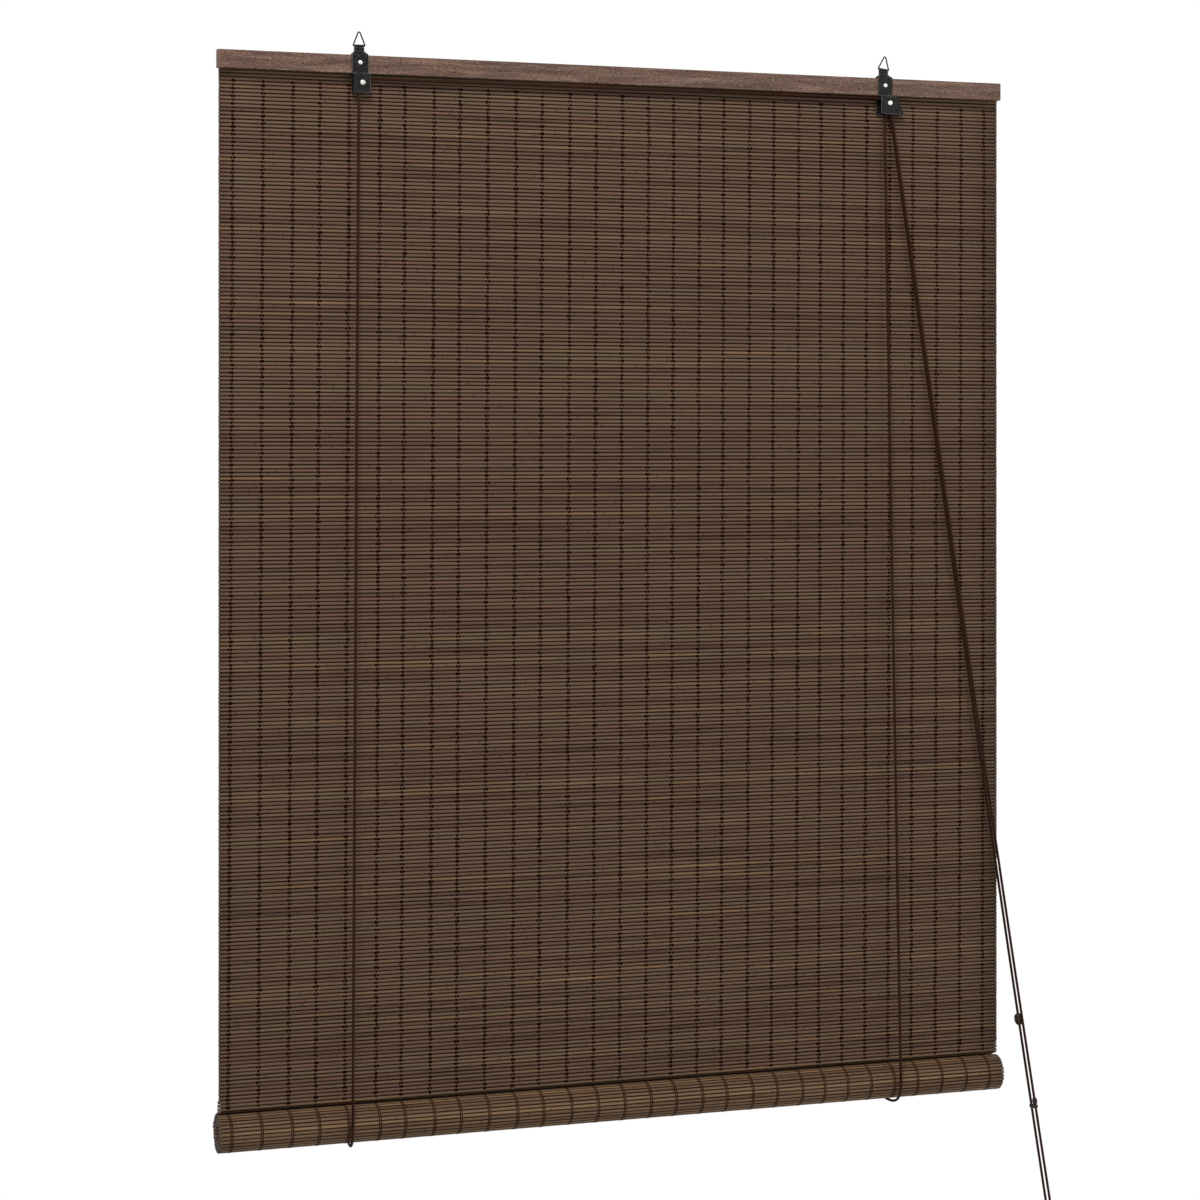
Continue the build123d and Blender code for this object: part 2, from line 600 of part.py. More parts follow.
def lift_cord_back(cord):
    """Taut run of a lift cord behind the mat, with the knot that its staple holds."""
    foot, top = back_run(front_run(*cord)[1], cord[-1])
    above = top + (top - foot).normalized() * (CORD_STAPLE_WIRE / 2 + CORD_KNOT_DIA / 2 + CORD_STAPLE_CLEAR)
    knot = Solid.make_sphere(CORD_KNOT_DIA / 2, angle1=-90)
    knot = knot.translate((above.X, MAT_BACK + CORD_KNOT_DIA / 2, above.Z))
    return cord_along([tuple(foot), tuple(above)], []) + knot


def lift_cord_loop(cord):
    """Turn of a lift cord under the roll, in line with its front and back runs."""
    top, front = front_run(*cord)
    foot, anchor = back_run(front, cord[-1])
    first = front + (front - top).normalized() * WRAP_R
    second = foot - (anchor - foot).normalized() * WRAP_R
    return cord_along([tuple(front), tuple(first), tuple(second), tuple(foot)],
                      [WRAP_R * 0.95, WRAP_R * 0.95])


def pull_cord(pull):
    """Taut pull cord from the lock towards the lower right, with its slight bend."""
    points = [pull_start(pull), pull_bend(pull), pull_point(pull, PULL_LENGTH)]
    return cord_along([tuple(p) for p in points], [PULL_BEND_R])


def on_pull_cord(piece, pull, down):
    """Turns a piece made along Z onto a pull cord, this far below its start."""
    return Plane(pull_point(pull, down), z_dir=-pull_direction(pull[2], pull[3])[0]) * piece


def turned_ball(dia, length, hole):
    """Turned body along Z, rounder above and slimmer below, with a hole for its cord."""
    r = dia / 2
    profile = [(hole, 0.5), (r * 0.64, 0.44), (r * 0.9, 0.28), (r, 0.06), (r * 0.95, -0.14),
               (r * 0.76, -0.32), (max(hole, r * 0.46), -0.45), (hole, -0.5)]
    face = make_face(Polyline(*[(x, length * z) for x, z in profile], close=True))
    return revolve(Plane.XZ * face, Axis.Z, 360)


def cord_bead():
    """Bead threaded on the back pull cord."""
    return on_pull_cord(turned_ball(BEAD_DIA, BEAD_LENGTH, CORD_R), BACK_PULL, BEAD_DOWN)


def cord_connector():
    """Small clip: a body threaded on the front pull cord, and an arm that holds the back one."""
    body = on_pull_cord(turned_ball(CONNECTOR_DIA, CONNECTOR_LENGTH, CORD_R), FRONT_PULL, CONNECTOR_DOWN)
    down = CONNECTOR_DOWN + CONNECTOR_ARM_DOWN
    ends = [pull_point(FRONT_PULL, down), pull_point(BACK_PULL, down)]
    r = CONNECTOR_ARM_DIA / 2
    arm = Solid.make_cylinder(r, (ends[1] - ends[0]).length, Plane(ends[0], z_dir=ends[1] - ends[0]))
    for end in ends:
        arm += Solid.make_sphere(r + CONNECTOR_ARM_END, angle1=-90).translate(end)
    for pull in (FRONT_PULL, BACK_PULL):
        along = pull_direction(pull[2], pull[3])[0]
        start = pull_point(pull, CONNECTOR_DOWN - CONNECTOR_LENGTH)
        arm -= Solid.make_cylinder(CORD_R, 3 * CONNECTOR_LENGTH, Plane(start, z_dir=along))
    return body + arm


def end_knot(pull):
    """Knot at the end of a pull cord."""
    return on_pull_cord(turned_ball(END_KNOT_DIA, END_KNOT_DIA, 0), pull, PULL_LENGTH + END_KNOT_DIA / 2)


def cord_staple(x):
    """Round wire staple over a lift cord's end, its legs through the mat into the rail."""
    half = CORD_STAPLE_WIDTH / 2
    crown = BACK_CORD_Y + CORD_R + CORD_STAPLE_CLEAR + CORD_STAPLE_WIRE / 2
    tip = crown - CORD_STAPLE_WIRE / 2 - CORD_STAPLE_LEG
    z = CORD_STAPLE_Z
    path = FilletPolyline((x - half, tip, z), (x - half, crown, z), (x + half, crown, z),
                          (x + half, tip, z), radius=CORD_STAPLE_WIRE)
    return sweep(Plane(path @ 0, z_dir=path % 0) * Circle(CORD_STAPLE_WIRE / 2), path=path)


def mat_staples():
    """Row of flat staples that hold the mat's top edge to the rail."""
    half, w = MAT_STAPLE_WIDTH / 2, MAT_STAPLE_WIRE
    tip = MAT_BACK - MAT_STAPLE_LEG
    staples = []
    for k in range(0, THREAD_COLUMNS - 1, MAT_STAPLE_EVERY):
        x = MAT_LEFT + THREAD_MARGIN + (k + 0.5) * THREAD_PITCH
        shape = [(x - half, tip), (x - half, MAT_BACK + w), (x + half, MAT_BACK + w), (x + half, tip),
                 (x + half - w, tip), (x + half - w, MAT_BACK), (x - half + w, MAT_BACK), (x - half + w, tip)]
        face = make_face(Polyline(*[(px, py, MAT_STAPLE_Z) for px, py in shape], close=True))
        staples.append(extrude(face, w, dir=(0, 0, 1)))
    return Compound(children=staples)


def all_nodes():
    """Every piece of the blind by name."""
    nodes = {
        "head_rail": head_rail(),
        "hanging_mat": hanging_mat(),
        "mat_threads": mat_threads(),
        "mat_roll": mat_roll(),
        "bottom_batten": bottom_batten(),
        "mat_staples": mat_staples(),
        "pulley_housing": pulley_housing(),
        "lock_housing": lock_housing(),
        "pulley_axle_rivet": rivet(PULLEY_X, PULLEY_Z, AXLE_RIVET_HEAD, HOUSING_FRONT, HOUSING_BACK),
        "lock_axle_rivet": rivet(LOCK_X, LOCK_Z, AXLE_RIVET_HEAD, HOUSING_FRONT, HOUSING_BACK),
        "pulley_wheel": wheel(PULLEY_X, PULLEY_Z, PULLEY_CORD_R, [FRONT_GROOVE_Y]),
        "lock_wheel": wheel(LOCK_X, LOCK_Z, LOCK_CORD_R, [FRONT_GROOVE_Y, BACK_GROOVE_Y]),
        "lock_roller": lock_roller(),
        "transfer_cord": transfer_cord(),
        "lock_cord_wrap": lock_cord_wrap(),
        "pull_cord_front": pull_cord(FRONT_PULL),
        "pull_cord_back": pull_cord(BACK_PULL),
        "cord_bead": cord_bead(),
        "cord_connector": cord_connector(),
        "end_knot_front": end_knot(FRONT_PULL),
        "end_knot_back": end_knot(BACK_PULL),
    }
    for side, x, cord, lean in (("left", LEFT_X, LEFT_CORD, 0), ("right", RIGHT_X, RIGHT_CORD, RIGHT_RING_LEAN)):
        nodes["hanger_strap_" + side] = hanger_strap(x, lean)
        nodes["hanging_ring_" + side] = hanging_ring(x, lean)
        nodes["strap_rivet_" + side] = rivet(
            x, STRAP_RIVET_Z, STRAP_RIVET_HEAD, STRAP_FRONT, RAIL_BACK + SHEET)
        nodes["lift_cord_front_" + side] = lift_cord_front(cord)
        nodes["lift_cord_back_" + side] = lift_cord_back(cord)
        nodes["lift_cord_loop_" + side] = lift_cord_loop(cord)
        nodes["cord_staple_" + side] = cord_staple(back_run(front_run(*cord)[1], cord[-1])[1].X)
    return nodes


os.makedirs("parts", exist_ok=True)
for name, solid in all_nodes().items():
    export_step(solid, "parts/" + name + ".step")
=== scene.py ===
"""A bamboo roll up blind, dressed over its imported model.

The blind hangs by two wire rings from a wooden head rail. Stained bamboo slats are tied
together by columns of stitching, and their lower part is rolled up. Lengths are in metres.
X runs along the rail, Y points away from the room and Z points up.
"""
import logging
from dataclasses import dataclass, field
from enum import Enum

import bpy
import numpy as np
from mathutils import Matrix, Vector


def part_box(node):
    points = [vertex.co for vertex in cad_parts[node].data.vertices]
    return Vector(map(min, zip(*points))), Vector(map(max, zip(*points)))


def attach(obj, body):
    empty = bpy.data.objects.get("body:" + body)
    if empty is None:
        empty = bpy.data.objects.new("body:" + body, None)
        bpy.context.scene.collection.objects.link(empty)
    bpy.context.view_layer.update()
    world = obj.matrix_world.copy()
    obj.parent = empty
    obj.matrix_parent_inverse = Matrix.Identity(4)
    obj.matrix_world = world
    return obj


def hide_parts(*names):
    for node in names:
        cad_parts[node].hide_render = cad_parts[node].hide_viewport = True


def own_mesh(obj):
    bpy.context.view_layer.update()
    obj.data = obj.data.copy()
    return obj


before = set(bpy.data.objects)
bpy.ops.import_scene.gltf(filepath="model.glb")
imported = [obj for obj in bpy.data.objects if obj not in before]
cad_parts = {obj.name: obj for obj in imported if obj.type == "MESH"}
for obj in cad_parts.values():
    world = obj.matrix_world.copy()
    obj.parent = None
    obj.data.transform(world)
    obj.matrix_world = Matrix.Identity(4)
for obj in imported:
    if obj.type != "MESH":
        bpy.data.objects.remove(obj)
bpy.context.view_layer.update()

LOG = logging.getLogger("blind")
Colour = tuple[float, float, float, float]
Place = tuple[float, float, float]
Socket = bpy.types.NodeSocket

FULL_TURN = 6.28319
# Metres: from slat to slat, half a slat's thickness, and the width of every cord.
SLAT_PITCH = 0.0053
HALF_SLAT = 0.0008
CORD_DIAMETER = 0.0038
# Order of a quad's corners that turns its face over.
FLIPPED = [0, 3, 2, 1]


def paint(code: str) -> Colour:
    """Turns a written colour into linear light.

    Args:
        code: six hexadecimal digits.

    Returns:
        Red, green, blue and a full alpha. A channel c becomes ((c + 0.055) / 1.055) ** 2.4.
    """
    channels = [int(code[k:k + 2], 16) / 255 for k in (0, 2, 4)]
    linear = [c / 12.92 if c <= 0.04045 else ((c + 0.055) / 1.055) ** 2.4 for c in channels]
    return (linear[0], linear[1], linear[2], 1.0)


class Face(Enum):
    """Which face of the mat is looked at. The value is added to a slat's number in its UV map."""

    ROOM = 0
    WINDOW = 1000


class Graph:
    """Adds shader nodes to one node tree and joins them."""

    def __init__(self, tree: bpy.types.NodeTree) -> None:
        """Keeps the tree to work on."""
        self.tree = tree

    def node(self, kind: str, inputs: dict | None = None, **settings: object) -> bpy.types.Node:
        """Adds one node.

        Args:
            kind: the node's type without its first word.
            inputs: a value or an output socket for each input, by name or number.
            settings: properties of the node.

        Returns:
            The new node.
        """
        made = self.tree.nodes.new("ShaderNode" + kind)
        for name, value in settings.items():
            setattr(made, name, value)
        for key, value in (inputs or {}).items():
            self.feed(made.inputs[key], value)
        return made

    def feed(self, socket: Socket, value: object) -> None:
        """Gives a socket its value, or joins it to an output."""
        if isinstance(value, bpy.types.NodeSocket):
            self.tree.links.new(value, socket)
        else:
            socket.default_value = value

    def maths(self, operation: str, first: object, second: object = 0.0) -> Socket:
        """Result of one operation, such as MAXIMUM or FRACT."""
        return self.node("Math", {0: first, 1: second}, operation=operation).outputs[0]

    def add(self, first: object, second: object) -> Socket:
        """Sum of two values."""
        return self.maths("ADD", first, second)

    def less(self, first: object, second: object) -> Socket:
        """First value less the second."""
        return self.maths("SUBTRACT", first, second)

    def times(self, first: object, second: object) -> Socket:
        """Product of two values."""
        return self.maths("MULTIPLY", first, second)

    def here(self) -> Socket:
        """Object coordinates."""
        return self.node("TexCoord").outputs["Object"]

    def parts(self, vector: Socket) -> tuple[Socket, Socket, Socket]:
        """X, Y and Z of a vector."""
        made = self.node("SeparateXYZ", {0: vector})
        return made.outputs[0], made.outputs[1], made.outputs[2]

    def noise(self, place: Socket, scale: float, detail: float, roughness: float = 0.5) -> Socket:
        """Noise from 0 to 1 at a place."""
        return self.node("TexNoise", {"Vector": place, "Scale": scale, "Detail": detail,
                                      "Roughness": roughness}).outputs[0]

    def scale(self, value: object, low: float, high: float, to_low: float, to_high: float) -> Socket:
        """Value moved from one range to another and held inside it."""
        made = self.node("MapRange", {0: value, 1: low, 2: high, 3: to_low, 4: to_high}, clamp=True)
        return made.outputs[0]

    def steps(self, value: object, low: float, high: float) -> Socket:
        """Smooth change from 0 at low to 1 at high."""
        made = self.node("MapRange", {0: value, 1: low, 2: high}, interpolation_type="SMOOTHSTEP")
        return made.outputs[0]

    def mix(self, share: object, first: object, second: object, blend: str = "MIX") -> Socket:
        """Colour between two colours, by share."""
        made = self.node("Mix", data_type="RGBA", blend_type=blend)
        for key, value in ((0, share), (6, first), (7, second)):
            self.feed(made.inputs[key], value)
        return made.outputs[2]

    def ramp(self, value: object, stops: tuple[tuple[float, str], ...]) -> Socket:
        """Colour from a row of stops, each a place and a written colour."""
        made = self.node("ValToRGB", {0: value})
        band = made.color_ramp
        while len(band.elements) < len(stops):
            band.elements.new(0.5)
        for element, (place, code) in zip(band.elements, stops):
            element.position = place
            element.color = paint(code)
        return made.outputs[0]

    def shade(self, share: object, colour: object) -> Socket:
        """Colour multiplied by a grey of the given share."""
        grey = self.node("CombineColor", {0: share, 1: share, 2: share}).outputs[0]
        return self.mix(1.0, colour, grey, "MULTIPLY")

    def effect(self, tree: bpy.types.NodeTree, **inputs: object) -> bpy.types.Node:
        """Places a shared effect, with a value or socket for each of its inputs."""
        made = self.tree.nodes.new("ShaderNodeGroup")
        made.node_tree = tree
        for name, value in inputs.items():
            self.feed(made.inputs[name.replace("_", " ")], value)
        return made


class Effects:
    """Effects that several finishes share, each a node group that is built once."""

    def __init__(self) -> None:
        """Builds every group."""
        self.fibre = self._fibre()
        self.braid = self._braid()
        self.wear = self._wear()

    @staticmethod
    def _group(name: str, inputs: dict[str, float],
               outputs: tuple[str, ...]) -> tuple[Graph, dict, bpy.types.Node]:
        """Starts a group.

        Args:
            name: the group's name.
            inputs: each input's name and first value; a name with Vector in it is a vector.
            outputs: the outputs' names, all values.

        Returns:
            The graph inside it, its inputs by name, and its output node.
        """
        tree = bpy.data.node_groups.new(name, "ShaderNodeTree")
        for key, value in inputs.items():
            kind = "NodeSocketVector" if "Vector" in key else "NodeSocketFloat"
            made = tree.interface.new_socket(key, in_out="INPUT", socket_type=kind)
            if kind == "NodeSocketFloat":
                made.default_value = value
        for key in outputs:
            tree.interface.new_socket(key, in_out="OUTPUT", socket_type="NodeSocketFloat")
        start = tree.nodes.new("NodeGroupInput")
        end = tree.nodes.new("NodeGroupOutput")
        return Graph(tree), {key: start.outputs[key] for key in inputs}, end

    def _fibre(self) -> bpy.types.NodeTree:
        """Long wood or bamboo fibres: noise stretched along the piece, with darker veins."""
        graph, given, end = self._group(
            "fibre", {"Along": 0.0, "Across": 0.0, "Seed": 0.0, "Stretch": 12.0, "Fineness": 5.0},
            ("Tone", "Vein", "Height"))
        place = graph.node("CombineXYZ", {
            0: graph.times(given["Along"], given["Stretch"]),
            1: graph.times(given["Across"], given["Fineness"]),
            2: graph.times(given["Seed"], 7.31)}).outputs[0]
        fine = graph.noise(place, 4.3, 3.0, 0.7)
        tone = graph.add(graph.times(graph.noise(place, 1.0, 4.0, 0.62), 0.62), graph.times(fine, 0.38))
        vein = graph.steps(fine, 0.56, 0.72)
        height = graph.less(tone, graph.times(vein, 0.5))
        for key, value in (("Tone", tone), ("Vein", vein), ("Height", height)):
            graph.feed(end.inputs[key], value)
        return graph.tree

    def _braid(self) -> bpy.types.NodeTree:
        """Braided strands: two families of slanting ridges, sin(2 pi (u / lay + n v)) and its mirror."""
        graph, given, end = self._group(
            "braid", {"Along": 0.0, "Around": 0.0, "Lay": 0.004, "Strands": 3.0}, ("Height", "Gap"))
        along = graph.maths("DIVIDE", given["Along"], given["Lay"])
        around = graph.times(given["Around"], given["Strands"])
        waves = [graph.maths("SINE", graph.times(phase, FULL_TURN))
                 for phase in (graph.add(along, around), graph.less(along, around))]
        height = graph.maths("MAXIMUM", *waves)
        graph.feed(end.inputs["Height"], height)
        graph.feed(end.inputs["Gap"], graph.steps(height, 0.35, -0.3))
        return graph.tree

    def _wear(self) -> bpy.types.NodeTree:
        """Patches and fine scratches on a painted or plated surface."""
        graph, given, end = self._group(
            "wear", {"Vector": 0.0, "Patch": 60.0, "Scratch": 900.0}, ("Patch", "Scratch", "Height"))
        patch = graph.noise(given["Vector"], given["Patch"], 5.0, 0.6)
        stretched = graph.node("Mapping", {"Vector": given["Vector"], "Rotation": (0.3, 0.9, 0.4),
                                           "Scale": (1.0, 0.16, 0.16)}).outputs[0]
        lines = graph.steps(graph.noise(stretched, given["Scratch"], 2.0), 0.60, 0.74)
        for key, value in (("Patch", patch), ("Scratch", lines), ("Height", graph.less(patch, lines))):
            graph.feed(end.inputs[key], value)
        return graph.tree


def new_material(name: str) -> tuple[bpy.types.Material, Graph, bpy.types.Node]:
    """Starts a material.

    Args:
        name: the finish's name.

    Returns:
        The material, its graph and its Principled BSDF.
    """
    made = bpy.data.materials.new(name)
    made.use_nodes = True
    graph = Graph(made.node_tree)
    return made, graph, made.node_tree.nodes["Principled BSDF"]


def surface(graph: Graph, shader: bpy.types.Node, colour: object, roughness: object, specular: float) -> None:
    """Gives the shader its colour, its roughness and its share of plain reflection."""
    graph.feed(shader.inputs["Base Color"], colour)
    graph.feed(shader.inputs["Roughness"], roughness)
    shader.inputs["Specular IOR Level"].default_value = specular


def bump(graph: Graph, shader: bpy.types.Node, height: Socket, distance: float, strength: float) -> None:
    """Feeds a height in metres into the shader's normal."""
    made = graph.node("Bump", {"Height": height, "Distance": distance, "Strength": strength})
    graph.feed(shader.inputs["Normal"], made.outputs[0])


@dataclass(frozen=True)
class BambooFinish:
    """Stained bamboo slats, each of its own tone, with joints, fibres and painted shade in the grooves."""

    room_tones: tuple[tuple[float, str], ...] = (
        (0.0, "4f3a30"), (0.2, "604838"), (0.42, "705444"), (0.62, "6b5744"), (0.84, "806349"),
        (1.0, "9a7c5a"))
    window_tones: tuple[tuple[float, str], ...] = (
        (0.0, "5d4532"), (0.3, "715640"), (0.6, "80644a"), (0.85, "8f7150"), (1.0, "a88860"))
    # Colour of the painted shade at the slats' long edges, in the grooves.
    painted_groove_shade: str = "1a0f0a"
    joint_spacing: float = 0.34
    roughness: float = 0.5

    def build(self, effects: Effects) -> bpy.types.Material:
        """Makes the material from UV maps of metres along and slat number across."""
        made, graph, shader = new_material("stained_bamboo")
        along, count, _ = graph.parts(graph.node("UVMap", uv_map="slats").outputs[0])
        slat, across = graph.maths("FLOOR", count), graph.maths("FRACT", count)
        window = graph.maths("GREATER_THAN", count, Face.WINDOW.value - 100.0)
        chance = graph.node("TexWhiteNoise", {"W": slat}, noise_dimensions="1D")
        drift = graph.noise(graph.node("CombineXYZ", {
            0: graph.times(along, 5.5), 1: graph.times(slat, 3.7)}).outputs[0], 1.0, 3.0)
        own, slow = graph.times(chance.outputs["Value"], 0.52), graph.times(graph.less(drift, 0.5), 0.95)
        pick = graph.add(graph.add(own, slow), 0.2)
        tone = graph.mix(window, graph.ramp(pick, self.room_tones), graph.ramp(pick, self.window_tones))
        fibre = graph.effect(effects.fibre, Along=along, Across=across, Seed=slat, Stretch=14.0, Fineness=5.0)
        grain, vein = fibre.outputs["Tone"], fibre.outputs["Vein"]
        tone = graph.shade(graph.scale(grain, 0.3, 0.7, 0.74, 1.26), tone)
        tone = graph.shade(graph.scale(vein, 0.0, 1.0, 1.0, 0.76), tone)
        chance_green = graph.node("SeparateColor", {0: chance.outputs["Color"]}).outputs[1]
        run = graph.add(graph.maths("DIVIDE", along, self.joint_spacing), chance_green)
        off = graph.times(graph.maths("ABSOLUTE", graph.less(graph.maths("FRACT", run), 0.5)),
                          self.joint_spacing)
        joint = graph.steps(off, 0.0022, 0.0006)
        tone = graph.shade(graph.scale(joint, 0.0, 1.0, 1.0, 0.66), tone)
        # Painted shade: the colour darkens towards each slat's long edges, into the grooves between the
        # slats.
        edge = graph.maths("MINIMUM", across, graph.less(1.0, across))
        colour = graph.mix(graph.steps(edge, 0.04, 0.27), paint(self.painted_groove_shade), tone)
        rough = graph.scale(grain, 0.3, 0.7, self.roughness - 0.08, self.roughness + 0.14)
        surface(graph, shader, colour, rough, 0.16)
        bump(graph, shader, graph.add(fibre.outputs["Height"], graph.times(joint, 0.6)), 0.00025, 0.55)
        return made


@dataclass(frozen=True)
class CutBambooFinish:
    """Pale sawn ends of the slats."""

    pale: str = "f0e3c0"
    dark: str = "b49c70"

    def build(self) -> bpy.types.Material:
        """Makes the material: pale pith with the dark dots of the fibres."""
        made, graph, shader = new_material("cut_bamboo")
        place = graph.here()
        dots = graph.node("TexVoronoi", {"Vector": place, "Scale": 2600.0})
        noise = graph.noise(place, 240.0, 3.0)
        share = graph.times(graph.steps(dots.outputs[0], 0.5, 0.15), 0.75)
        colour = graph.mix(share, paint(self.pale), paint(self.dark))
        colour = graph.shade(graph.scale(noise, 0.3, 0.7, 0.62, 1.1), colour)
        surface(graph, shader, colour, graph.scale(noise, 0.3, 0.7, 0.7, 0.9), 0.1)
        bump(graph, shader, noise, 0.0002, 0.5)
        return made


@dataclass(frozen=True)
class RailFinish:
    """Stained wood of the head rail and the batten, with open grain along its length."""

    stops: tuple[tuple[float, str], ...] = (
        (0.0, "2e1f19"), (0.28, "523c31"), (0.5, "6b5145"), (0.7, "7c6153"), (1.0, "a48674"))

    def build(self, effects: Effects) -> bpy.types.Material:
        """Makes the material from Object coordinates."""
        made, graph, shader = new_material("stained_rail_wood")
        x, y, z = graph.parts(graph.here())
        sway = graph.noise(graph.node("CombineXYZ", {0: graph.times(x, 5.0)}).outputs[0], 1.0, 2.0)
        across = graph.add(graph.add(z, y), graph.times(sway, 0.02))
        fibre = graph.effect(effects.fibre, Along=x, Across=across, Seed=0.4, Stretch=240.0, Fineness=760.0)
        broad = graph.effect(effects.fibre, Along=x, Across=across, Seed=3.0, Stretch=8.0, Fineness=110.0)
        pick = graph.add(graph.times(fibre.outputs["Tone"], 0.62), graph.times(broad.outputs["Tone"], 0.38))
        colour = graph.ramp(graph.scale(pick, 0.4, 0.6, 0.0, 1.0), self.stops)
        colour = graph.shade(graph.scale(fibre.outputs["Vein"], 0.0, 1.0, 1.0, 0.5), colour)
        surface(graph, shader, colour, graph.scale(pick, 0.35, 0.65, 0.55, 0.4), 0.25)
        bump(graph, shader, fibre.outputs["Height"], 0.0003, 0.5)
        return made


@dataclass(frozen=True)
class ThreadFinish:
    """Dark matt thread and shadow: fine noise between two colours."""

    name: str
    dark: str
    light: str
    grain: float = 1500.0
    detail: float = 2.0
    smoothest: float = 0.75
    roughest: float = 0.95
    relief: float = 0.6

    def build(self) -> bpy.types.Material:
        """Makes the material from Object coordinates."""
        made, graph, shader = new_material(self.name)
        noise = graph.noise(graph.here(), self.grain, self.detail)
        colour = graph.mix(noise, paint(self.dark), paint(self.light))
        surface(graph, shader, colour, graph.scale(noise, 0.3, 0.7, self.smoothest, self.roughest), 0.0)
        if self.relief:
            bump(graph, shader, noise, 0.0002, self.relief)
        return made


@dataclass(frozen=True)
class CordFinish:
    """Braided dark brown cord, with painted shade in the valleys between its strands."""

    # Darker colour of the braid's valleys: painted shade.
    valley_shade: str = "1f110b"
    top: str = "3f2519"
    lay: float = 0.0042

    def build(self, effects: Effects) -> bpy.types.Material:
        """Makes the material from UV maps of metres along and share around."""
        made, graph, shader = new_material("braided_cord")
        along, around, _ = graph.parts(graph.node("UVMap", uv_map="cord").outputs[0])
        braid = graph.effect(effects.braid, Along=along, Around=around, Lay=self.lay, Strands=3.0)
        noise = graph.noise(graph.here(), 2400.0, 2.0)
        # Painted shade: low parts of the braid take the darker colour and the crests the lighter one.
        colour = graph.mix(graph.scale(braid.outputs["Height"], -0.2, 1.0, 0.0, 1.0),
                           paint(self.valley_shade), paint(self.top))
        colour = graph.shade(graph.scale(noise, 0.3, 0.7, 0.8, 1.2), colour)
        surface(graph, shader, colour, graph.scale(noise, 0.3, 0.7, 0.6, 0.85), 0.06)
        bump(graph, shader, braid.outputs["Height"], 0.00012, 0.4)
        return made


@dataclass(frozen=True)
class MetalFinish:
    """Painted, plated or bare metal with patches and fine scratches, and, where rim is set, a painted
    highlight along its edges and folds.
    """

    name: str
    colour: str
    # Colour of the scratches; where rim is set, also the colour of the painted edge highlight.
    worn: str
    metallic: float
    roughness: float
    patch: float = 160.0
    scratch: float = 1400.0
    wear: float = 0.35
    specular: float = 0.3
    # Strength of the painted highlight along edges and folds.
    rim: float = 0.0

    def build(self, effects: Effects) -> bpy.types.Material:
        """Makes the material from Object coordinates."""
        made, graph, shader = new_material(self.name)
        wear = graph.effect(effects.wear, Vector=graph.here(), Patch=self.patch, Scratch=self.scratch)
        patch = wear.outputs["Patch"]
        share = graph.times(wear.outputs["Scratch"], self.wear)
        # Painted highlight: where the bevelled normal turns away from the face's own normal, along edges and
        # folds, the colour moves towards the worn colour.
        if self.rim:
            soft = graph.node("Bevel", {"Radius": 0.0009})
            flat = graph.node("NewGeometry").outputs["Normal"]
            turn = graph.node("VectorMath", {0: soft.outputs[0], 1: flat}, operation="DOT_PRODUCT")
            edge = graph.times(graph.steps(turn.outputs["Value"], 0.985, 0.86), self.rim)
            share = graph.maths("MAXIMUM", share, graph.times(edge, graph.scale(patch, 0.35, 0.6, 0.5, 1.0)))
        colour = graph.mix(share, paint(self.colour), paint(self.worn))
        colour = graph.shade(graph.scale(patch, 0.3, 0.7, 0.85, 1.15), colour)
        rough = graph.scale(patch, 0.3, 0.7, self.roughness - 0.06, self.roughness + 0.1)
        surface(graph, shader, colour, rough, self.specular)
        shader.inputs["Metallic"].default_value = self.metallic
        bump(graph, shader, wear.outputs["Height"], 0.00006, 0.5)
        return made


@dataclass(frozen=True)
class BeadFinish:
    """Dark turned wood or moulded trim under a gloss varnish."""

    name: str
    dark: str
    light: str
    roughness: float = 0.25

    def build(self, effects: Effects) -> bpy.types.Material:
        """Makes the material from Object coordinates."""
        made, graph, shader = new_material(self.name)
        x, _, z = graph.parts(graph.here())
        fibre = graph.effect(effects.fibre, Along=z, Across=x, Seed=1.7, Stretch=120.0, Fineness=900.0)
        share = graph.scale(fibre.outputs["Tone"], 0.35, 0.65, 0.0, 1.0)
        rough = graph.scale(share, 0.0, 1.0, self.roughness, self.roughness + 0.12)
        surface(graph, shader, graph.mix(share, paint(self.dark), paint(self.light)), rough, 0.1)
        shader.inputs["Coat Weight"].default_value = 0.22
        shader.inputs["Coat Roughness"].default_value = 0.1
        bump(graph, shader, fibre.outputs["Height"], 0.00015, 0.4)
        return made


class Palette:
    """Every finish of the blind, built once."""

    def __init__(self) -> None:
        """Builds the shared effects and the materials."""
        effects = Effects()
        self.bamboo = BambooFinish().build(effects)
        self.cut = CutBambooFinish().build()
        self.core = ThreadFinish("groove_shadow", "150d09", "2b1d14", 160.0, 3.0, 0.85, 0.85, 0.0).build()
        self.rail = RailFinish().build(effects)
        self.thread = ThreadFinish("stitch_thread", "0f0705", "2a150e").build()
        self.back_thread = ThreadFinish("back_thread", "1d0f0a", "452c1f").build()
        self.cord = CordFinish().build(effects)
        metals = (
            # The sheet's worn colour also paints the highlight along its edges and folds.
            MetalFinish("dark_sheet_metal", "141211", "a09b96", 0.15, 0.45, specular=0.16, rim=1.0),
            MetalFinish("dark_wire", "0e0d0c", "55514e", 0.3, 0.4, specular=0.15),
            MetalFinish("nickel_rivet", "d9d6cf", "f4f2ec", 1.0, 0.18, 300.0, 2200.0, 0.2),
            MetalFinish("staple_wire", "a9a69f", "dedad2", 1.0, 0.34, 260.0, 1800.0, 0.3),
            MetalFinish("pulley_plastic", "161514", "3a3837", 0.0, 0.42, 120.0, 1500.0, 0.25))
        self.sheet, self.wire, self.nickel, self.steel, self.plastic = (
            metal.build(effects) for metal in metals)
        self.bead = BeadFinish("bead_wood", "1c0e09", "40251a").build(effects)
        self.connector = BeadFinish("connector_trim", "170d09", "35221a", 0.28).build(effects)


